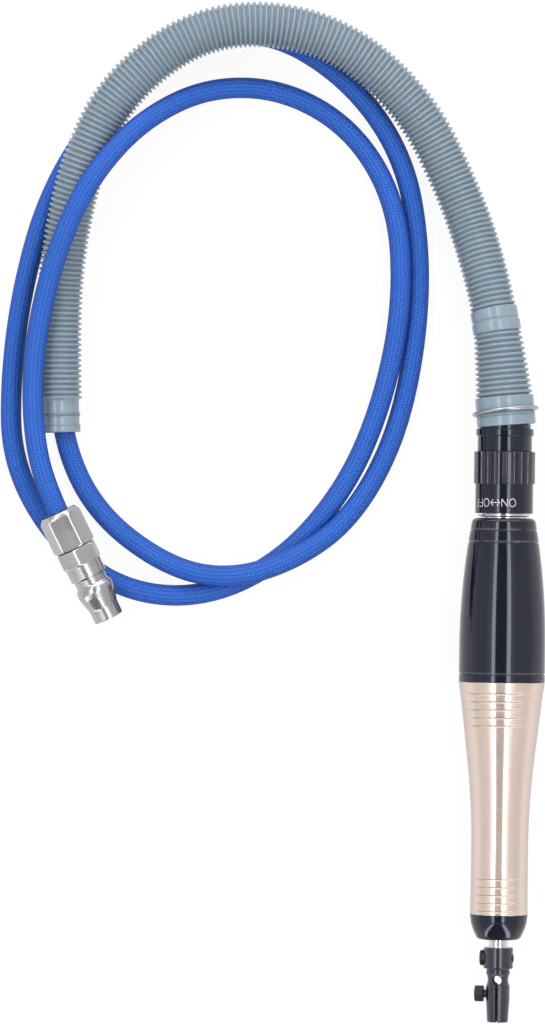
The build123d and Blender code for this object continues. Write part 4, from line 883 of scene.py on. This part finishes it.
def along_line(line, outline, sides):
    """Points, in millimetres, of an outline (distance, radius) carried round a line.

    At each distance a circle stands square to the line, with its first axis level.
    """
    line = line * 1000
    run = distances(line)
    ahead = unit(np.gradient(line, run, axis=0))
    level = unit(np.cross((0, 0, 1), ahead))
    upward = np.cross(ahead, level)
    centre, level, upward = (
        np.column_stack([np.interp(outline[:, 0], run, part) for part in field.T])[:, None]
        for field in (line, level, upward)
    )
    angle = circle(sides)[:, None]
    return centre + outline[:, 1, None, None] * (np.cos(angle) * level + np.sin(angle) * upward)


RIB_PITCH = 1.66
RIB_HEIGHT = 1.3
RIB_POWER = 1.1
CUFF_END = 9.1
TAPER_RIBS = 12
BAND_LENGTH = 7.6
MOUTH_CUFF = 9.7
BORE_STEPS = 60
BORE_RADIUS = 5.4


def ribs(start, count, first_crest, last_crest):
    """A run of ribs: a sharp valley, then a rounded crest whose radius runs from first to last."""
    share = np.array([0, 0.12, 0.26, 0.38, 0.5, 0.62, 0.74, 0.88])
    rise = np.sin(np.pi * share) ** RIB_POWER
    rib = np.arange(count)[:, None]
    crest = first_crest + (last_crest - first_crest) * rib / count
    return np.column_stack([
        (start + (rib + share) * RIB_PITCH).ravel(),
        (crest - RIB_HEIGHT * (1 - rise)).ravel(),
    ])


sleeve_line = smooth_line("sleeve_line", sleeve_route)
sleeve_end = distances(sleeve_line)[-1] * 1000
band_start = CUFF_END + TAPER_RIBS * RIB_PITCH
band_end = band_start + BAND_LENGTH
rib_count = int((sleeve_end - MOUTH_CUFF - band_end) / RIB_PITCH)
end_cuff = band_end + rib_count * RIB_PITCH
mouth = sleeve_end - end_cuff
sleeve_outline = np.vstack([
    open_outline([
        (0, 8.7, 0.1), (0, 9.2, 0.35),
        (3.1, 9.2, 0.15),
        (3.25, 8.95, 0.1),
        (3.4, 9.25, 0.15),
        (3.95, 9.25, 0.2),
        (4.1, 8.85, 0.1),
        (4.45, 9.15, 0.2),
        (CUFF_END, 9.15, 0.4),
        (CUFF_END + 0.1, 7.6, 0.2),
    ]),
    ribs(CUFF_END + 0.2, TAPER_RIBS, 8.95, 7.5),
    open_outline([
        (0.25, 6.6, 0.1),
        (0.3, 7.6, 0.35),
        (3.5, 7.6, 0.3),
        (3.7, 7.2, 0.1),
        (4.1, 7.2, 0.1),
        (4.3, 7.4, 0.25),
        (BAND_LENGTH, 7.4, 0.35),
        (BAND_LENGTH + 0.05, 6.5, 0.1),
    ]) + (band_start, 0),
    ribs(band_end + 0.15, rib_count, 7.2, 7.2),
    open_outline([
        (0.2, 6.2, 0.02),
        (0.6, 6.15, 0.1),
        (3.9, 6.15, 0.3),
        (4.3, 6.45, 0.3),
        (5.0, 6.45, 0.3),
        (5.4, 6.15, 0.3),
        (mouth - 2.4, 6.15, 0.25),
        (mouth - 2.2, 6.4, 0.2),
        (mouth, 6.4, 0.5), (mouth, 5.1, 0.3),
        (1.6, 5.0, 0.1),
        (0, BORE_RADIUS, 0.1),
    ]) + (end_cuff, 0),
    np.column_stack([np.linspace(end_cuff - 4, 16, BORE_STEPS), np.full(BORE_STEPS, BORE_RADIUS)]),
    [(12, 5.8), (9.5, 7.8), (5, 7.9), (2.5, 8.65), (0.4, 8.7)],
])
sleeve_plastic = grained_finish("sleeve_plastic", (0.22, 0.286, 0.344), (0.247, 0.314, 0.373), 0.19,
                                size=0.3, depth=4e-6)
sleeve_points = along_line(sleeve_line, sleeve_outline, sides=48)
sleeve = shell("sleeve", [sleeve_points], sleeve_plastic, "housing", ["exhaust_sleeve"])

# Sleeve clip: bright spring steel wire, bent once and a third round the cuff, so that its ends pass
# each other underneath. It springs shut behind the cuff's bead, and sits there a little askew.

CLIP_RADIUS = 9.82
CLIP_STATION = 5.07
CLIP_PITCH = 1.54
CLIP_LEAN = 0.62
CLIP_REACH = 1.3 * np.pi
WIRE_RADIUS = 0.57
cuff_along = unit(sleeve_line[1] - sleeve_line[0])
cuff_across = np.cross(cuff_along, (0, 0, 1))
from_top = np.linspace(-CLIP_REACH, CLIP_REACH, 161)
outwards = np.sin(from_top)[:, None] * cuff_across + np.cos(from_top)[:, None] * (0, 0, 1)
clip_station = CLIP_STATION + CLIP_PITCH * from_top / FULL_TURN + CLIP_LEAN * (np.cos(from_top) - 1)
clip_line = 1000 * sleeve_line[0] + clip_station[:, None] * cuff_along + CLIP_RADIUS * outwards
beside = np.cross(unit(np.gradient(clip_line, axis=0)), outwards)
wire_angle = circle(20)[:, None]
from_end = (CLIP_REACH - np.abs(from_top)) * CLIP_RADIUS
wire_size = WIRE_RADIUS - edge_drop(from_end, edge=0.25)
wire = clip_line[:, None] + wire_size[:, None, None] * (
    np.cos(wire_angle) * outwards[:, None] + np.sin(wire_angle) * beside[:, None]
)
spring_wire = turned_finish("spring_wire", (0.37, 0.375, 0.40), (0.46, 0.465, 0.49), 0.33, pitch=0.5)
shell("clip", [wire], spring_wire, "housing", ["sleeve_clamp"], capped=True)

# Air hose: rubber hose in a tight blue braid. It starts on the barb, runs inside the sleeve, leaves
# its mouth and lies in two loose turns to the plug.

hose_free_route = np.array([
    (-138.2, -8.7, 6.6), (-126.7, -30.7, 3.6), (-104, -46.7, 4.6), (-84, -49.7, 10.8),
    (-64, -42.7, 10.9), (-47.5, -30, 5), (-34.5, -6.5, 3.3), (-28, 23, 3.3),
    (-26.8, 54, 3.3), (-32.5, 84.4, 3.3), (-51, 109.1, 3.3), (-78, 124, 3.3),
    (-107, 117, 3.3), (-129, 95.5, 3.3), (-143.9, 70.5, 3.3), (-151.7, 42, 3.3),
    (-155.2, 13, 3.3), (-154.5, -14, 3.3), (-140.5, -38.5, 3.3), (-119, -54.1, 3.3),
    (-93, -55.8, 3.3), (-68, -43.1, 3.3), (-48.9, -20, 4.3), (-37.8, 7.6, 5.5),
    (-32.3, 38, 7.5), (-34.4, 68.2, 7.2), (-48, 91.6, 3.8), (-70, 104.4, 3.4),
    (-94, 104.6, 8.8), (-114.7, 93.2, 19), (-129.7, 75.7, 24.5), (-138.5, 57.5, 22.5),
    (-144.8, 37, 18.5), (-148.1, 14, 16.2), (-146.8, -8.5, 15.9), (-142.1, -24, 15.6),
    (-135.6, -37, 14.4),
]) / 1000
hose_free_route[:, 1] += CAP_BACK / 1000
HOSE_START = (0, 0.08855, 0.0135)
HOSE_RADIUS = 3.25
HOSE_SAG = 0.0006
HOSE_STEPS = 860
hose_in_sleeve = sleeve_route[1:-1] - np.array([0, 0, HOSE_SAG])
hose_route = np.vstack([HOSE_START, hose_in_sleeve, hose_free_route])
hose_line = smooth_line("hose_line", hose_route)
hose_length = distances(hose_line)[-1] * 1000
hose_outline = np.column_stack([np.linspace(0, hose_length, HOSE_STEPS), np.full(HOSE_STEPS, HOSE_RADIUS)])

# Braid: two families of yarn that cross in a herringbone, so each row zigzags round the hose
BRAID_COLUMNS = 8.0
BRAID_ROW = 0.00082
BRAID_LEAN = 2.2
DIVE_POWER = 0.35
FLECK_SIZE = 0.35
FLECK_SHARE = 0.35
SHADE_RANGE = (0.25, 1.15)
hose_braid, tree, shader = finish("hose_braid", {"Roughness": 0.5, "Specular IOR Level": 0.18})
surface = node(tree, "ShaderNodeUVMap", uv_map="surface").outputs[0]
place = node(tree, "ShaderNodeSeparateXYZ", [surface]).outputs
round_hose = maths(tree, "MULTIPLY", place[0], BRAID_COLUMNS)
along_hose = maths(tree, "DIVIDE", place[1], BRAID_ROW)
zigzag = maths(tree, "PINGPONG", round_hose, 0.5)
row = maths(tree, "FRACT", maths(tree, "MULTIPLY_ADD", zigzag, BRAID_LEAN, along_hose))
yarn = maths(tree, "SINE", maths(tree, "MULTIPLY", row, np.pi))
column = maths(tree, "SINE", maths(tree, "MULTIPLY", round_hose, FULL_TURN))
dive = maths(tree, "POWER", maths(tree, "ABSOLUTE", column), DIVE_POWER)
height = maths(tree, "MULTIPLY", yarn, dive)
fleck = used(tree, grain, Size=FLECK_SIZE)
shade = ranged(tree, maths(tree, "MULTIPLY_ADD", fleck, FLECK_SHARE, height), *SHADE_RANGE)
bump = node(tree, "ShaderNodeBump", {"Strength": 0.8, "Distance": 1.6e-4, "Height": height})
tree.links.new(tint(tree, shade, (0.010, 0.05, 0.30), (0.042, 0.172, 0.65)), shader.inputs["Base Color"])
tree.links.new(bump.outputs[0], shader.inputs["Normal"])

# Seen at a slant the braid looks a deeper blue: partly the yarns standing before one another, and partly
# painted shade on the hose's flanks
SLANT_RANGE = (0.3, 0.9)
SLANT_MOST = 0.85
turned_away = node(tree, "ShaderNodeLayerWeight", [0.5]).outputs["Facing"]
overlay(tree, shader, ranged(tree, turned_away, *SLANT_RANGE, 0, SLANT_MOST), (0.014, 0.03, 0.34))

# Mirrored in the black and plated pieces, the braid loses most of its blue
MIRROR_MOST = 0.8
mirrored = node(tree, "ShaderNodeLightPath").outputs["Is Glossy Ray"]
overlay(tree, shader, maths(tree, "MULTIPLY", mirrored, MIRROR_MOST), (0.035, 0.045, 0.09))
hose = shell("hose", [along_line(hose_line, hose_outline, sides=40)], hose_braid, "housing",
             ["air_hose"], capped=True)

# Quick-connect plug: turned from hexagon bar and nickel plated. The nut squeezes the hose on the body,
# which has a second hexagon, and a nose with a locking groove for the socket.

HOSE_GRIP = 8.5
PLUG_TURN = np.radians(6.0)
PLUG_BLEND = 0.1
PLUG_STEPS = 240
HEXAGON_HALF = 6.0
EDGE_WIDTH = np.radians(2.0)
NUT_BORE = 4.5
NUT_BEVEL = 6.2
BODY_STEP = 17.8
BODY_NECK = 5.8
plug_ahead = unit(hose_route[-1] - hose_route[-2])
plug_back = 1000 * hose_route[-1] - HOSE_GRIP * plug_ahead
plug_side = unit(np.cross(plug_ahead, (0, 0, 1)))
plug_axis = np.array([plug_back, plug_ahead, plug_side, np.cross(plug_side, plug_ahead)])
plug_angle = circle(PLUG_STEPS)
nickel = grained_finish("nickel_plate", (0.42, 0.415, 0.432), (0.50, 0.495, 0.515), 0.27, size=0.5,
                        depth=4e-7, fixed={"Metallic": 1.0})


def plug_piece(name, outline, turn, corner, cut, gloss_or_highlight, replaced):
    """A piece of the plug: its outline carried round, and cut to a hexagon on the rows that are cut.

    On the highlit rows, the share of painted highlight is a bell curve about each corner of the hexagon.
    """
    angle = plug_angle + turn
    radius = outline[:, 1, None] * np.ones_like(angle)
    flats = hexagon(angle, HEXAGON_HALF, corner)
    radius = np.where(cut[:, None], soft_least(radius, flats, PLUG_BLEND), radius)
    points = turned(outline, plug_angle, plug_axis, radius)
    piece = shell(name, [points], nickel, "housing", replaced)
    from_corner = angle % (np.pi / 3) - np.pi / 6
    mark(piece, "hexagon_edge_highlight", gloss_or_highlight[:, None] * np.exp(-((from_corner / EDGE_WIDTH) ** 2)))
    return piece


nut_outline = rounded([
    (0, 3.35, 0.15), (0, 5.5, 0.2),
    (1.9, 6.95, 0.3),
    (11.5, 6.95, 0.2),
    (12.1, 6.35, 0.15), (12.1, NUT_BORE, 0.1),
    (3, NUT_BORE), (3, 3.35),
], steps=7)
nut_radius = nut_outline[:, 1]
plug_nut = plug_piece("plug_nut_plated", nut_outline, PLUG_TURN - np.pi / 2, corner=0.5,
                      cut=nut_radius > NUT_BORE + 0.1, gloss_or_highlight=nut_radius > NUT_BEVEL,
                      replaced=["plug_nut"])

body_outline = rounded([
    (12.4, 1.95), (12.4, 6.2, 0.15),
    (12.9, 6.9, 0.2),
    (17.2, 6.9, 0.2),
    (BODY_STEP, 6.3, 0.15), (BODY_STEP, BODY_NECK, 0.1),
    (22.1, BODY_NECK, 0.2),
    (22.5, 5.1, 0.15),
    (24.7, 5.1, 0.25),
    (25.6, 5.75, 0.4),
    (27.1, 6.0, 0.5),
    (28.9, 5.75, 0.4),
    (32.6, 4.7, 0.4),
    (36.8, 4.7, 0.35), (36.8, 1.95, 0.2),
], steps=7)
on_hexagon = (body_outline[:, 0] < BODY_STEP + 0.05) & (body_outline[:, 1] > BODY_NECK + 0.05)
plug_body = plug_piece("plug_body_plated", body_outline, PLUG_TURN, corner=0.45, cut=on_hexagon,
                       gloss_or_highlight=on_hexagon, replaced=["plug_body"])

# A painted highlight along the edges of both hexagons
highlight_edges(nickel, "hexagon_edge_highlight", metal=(0.86, 0.86, 0.87), patch=3.0, least=1.0)

# Studio: white paper under the tool, a pale room with two long lamps overhead that run with the tool,
# and the camera straight above. None of it is part of the tool.

FLOOR_HALF = 3.0
FLOOR_GLOW = 0.91
FLOOR_MATT = (0.09, 0.09, 0.09, 1)
floor_corners = FLOOR_HALF * np.array([(-1, -1, 0), (1, -1, 0), (1, 1, 0), (-1, 1, 0)])
floor_mesh = bpy.data.meshes.new("floor")
floor_mesh.from_pydata(floor_corners, [], [(0, 1, 2, 3)])
floor = bpy.data.objects.new("floor", floor_mesh)
bpy.context.scene.collection.objects.link(floor)
paper = bpy.data.materials.new("floor_paper")
paper.use_nodes = True
tree = paper.node_tree
tree.nodes.clear()
ray = node(tree, "ShaderNodeLightPath").outputs
seen = maths(tree, "MAXIMUM", ray["Is Camera Ray"], ray["Is Glossy Ray"])
seen = maths(tree, "MAXIMUM", seen, ray["Is Transmission Ray"])
glow_level = maths(tree, "MULTIPLY", seen, FLOOR_GLOW)
glow = node(tree, "ShaderNodeEmission", [(1, 1, 1, 1), glow_level]).outputs[0]
matt = node(tree, "ShaderNodeBsdfDiffuse", [FLOOR_MATT]).outputs[0]
both = node(tree, "ShaderNodeAddShader", [glow, matt]).outputs[0]
node(tree, "ShaderNodeOutputMaterial", [both])
floor_mesh.materials.append(paper)

# The room's light by the lean of its direction from straight up to either side, in degrees: two lamps
# with a dark ceiling between them, their pale rims, and walls that brighten towards the horizon
LAMP_LEVEL = 5.5
ROOM_SHARE = 0.136
HORIZON_SHARE = 0.165
RIM_SHARE = 0.205
DARK_SHARE = 0.045
SIDE_SHARE = 0.16
lean_levels = [
    (-90, HORIZON_SHARE), (-72, ROOM_SHARE), (-46, ROOM_SHARE), (-37, RIM_SHARE), (-31, RIM_SHARE),
    (-29.6, 1), (-21.7, 1), (-20.4, DARK_SHARE), (9.4, DARK_SHARE), (10.8, 1), (20.1, 1),
    (21.4, SIDE_SHARE), (24, SIDE_SHARE), (27, RIM_SHARE), (36, ROOM_SHARE), (72, ROOM_SHARE),
    (90, HORIZON_SHARE),
]

# Towards the tool's front the lamps splay out, past a gap in each. They stop short of a dark wall in
# front and a bright one behind. Ranges are of the direction's part along the tool, forward below 0.
SPLAY_RANGE = (-0.42, -0.92)
SPLAY = 6.2
GAP_MIDDLE = 0.4
GAP_RANGE = (0.05, 0.075)
FRONT_STOP = (-0.82, -0.9)
BACK_STOP = (0.5, 0.6)
FRONT_WALL = (-0.84, -0.92)
FRONT_WALL_SHARE = 0.12
BACK_WALL = (0.66, 0.72)
BACK_WALL_SHARE = 0.5
room = bpy.data.worlds.new("room")
room.use_nodes = True
bpy.context.scene.world = room
tree = room.node_tree
tree.nodes.clear()
direction = node(tree, "ShaderNodeTexCoord").outputs["Generated"]
sideways, lengthways, upwards = node(tree, "ShaderNodeSeparateXYZ", [direction]).outputs
forward = ranged(tree, lengthways, *SPLAY_RANGE)
splay = maths(tree, "MULTIPLY_ADD", maths(tree, "MULTIPLY", forward, forward), SPLAY, 1)
lean = maths(tree, "DIVIDE", maths(tree, "ARCTAN2", sideways, upwards), splay)
ramp = node(tree, "ShaderNodeValToRGB", [ranged(tree, lean, -np.pi / 2, np.pi / 2)])
stops = ramp.color_ramp.elements
stops.remove(stops[1])
for degrees, level in lean_levels:
    stop = stops.new((degrees + 90) / 180)
    stop.color = (level, level, level, 1)
stops.remove(stops[0])
past_front = ranged(tree, lengthways, *FRONT_STOP, change="SMOOTHSTEP")
past_back = ranged(tree, lengthways, *BACK_STOP, change="SMOOTHSTEP")
from_gap = maths(tree, "ABSOLUTE", maths(tree, "ADD", lengthways, GAP_MIDDLE))
gap = ranged(tree, from_gap, *GAP_RANGE, 1, 0)
unlit = maths(tree, "MAXIMUM", maths(tree, "ADD", past_front, past_back), gap)
back_wall = ranged(tree, lengthways, *BACK_WALL, ROOM_SHARE, BACK_WALL_SHARE)
front_wall = ranged(tree, lengthways, *FRONT_WALL, 1, FRONT_WALL_SHARE)
light = mixed(tree, unlit, ramp.outputs[0], maths(tree, "MULTIPLY", back_wall, front_wall))
studio = node(tree, "ShaderNodeBackground", [light, LAMP_LEVEL]).outputs[0]
white = node(tree, "ShaderNodeBackground", [(1, 1, 1, 1), 1]).outputs[0]
camera_ray = node(tree, "ShaderNodeLightPath").outputs["Is Camera Ray"]
sky = node(tree, "ShaderNodeMixShader", [camera_ray, studio, white]).outputs[0]
node(tree, "ShaderNodeOutputWorld", [sky])

CAMERA_PLACE = (-0.07233, 0.0605, 1.8135)
CAMERA_ROLL = np.radians(0.74)
lens = bpy.data.cameras.new("camera")
lens.sensor_fit = "VERTICAL"
lens.sensor_height = 36
lens.lens = 202.5
lens.clip_end = 20
camera = bpy.data.objects.new("camera", lens)
camera.location = CAMERA_PLACE
camera.rotation_euler = (0, 0, CAMERA_ROLL)
bpy.context.scene.collection.objects.link(camera)
bpy.context.scene.camera = camera
bpy.context.scene.view_settings.view_transform = "Standard"
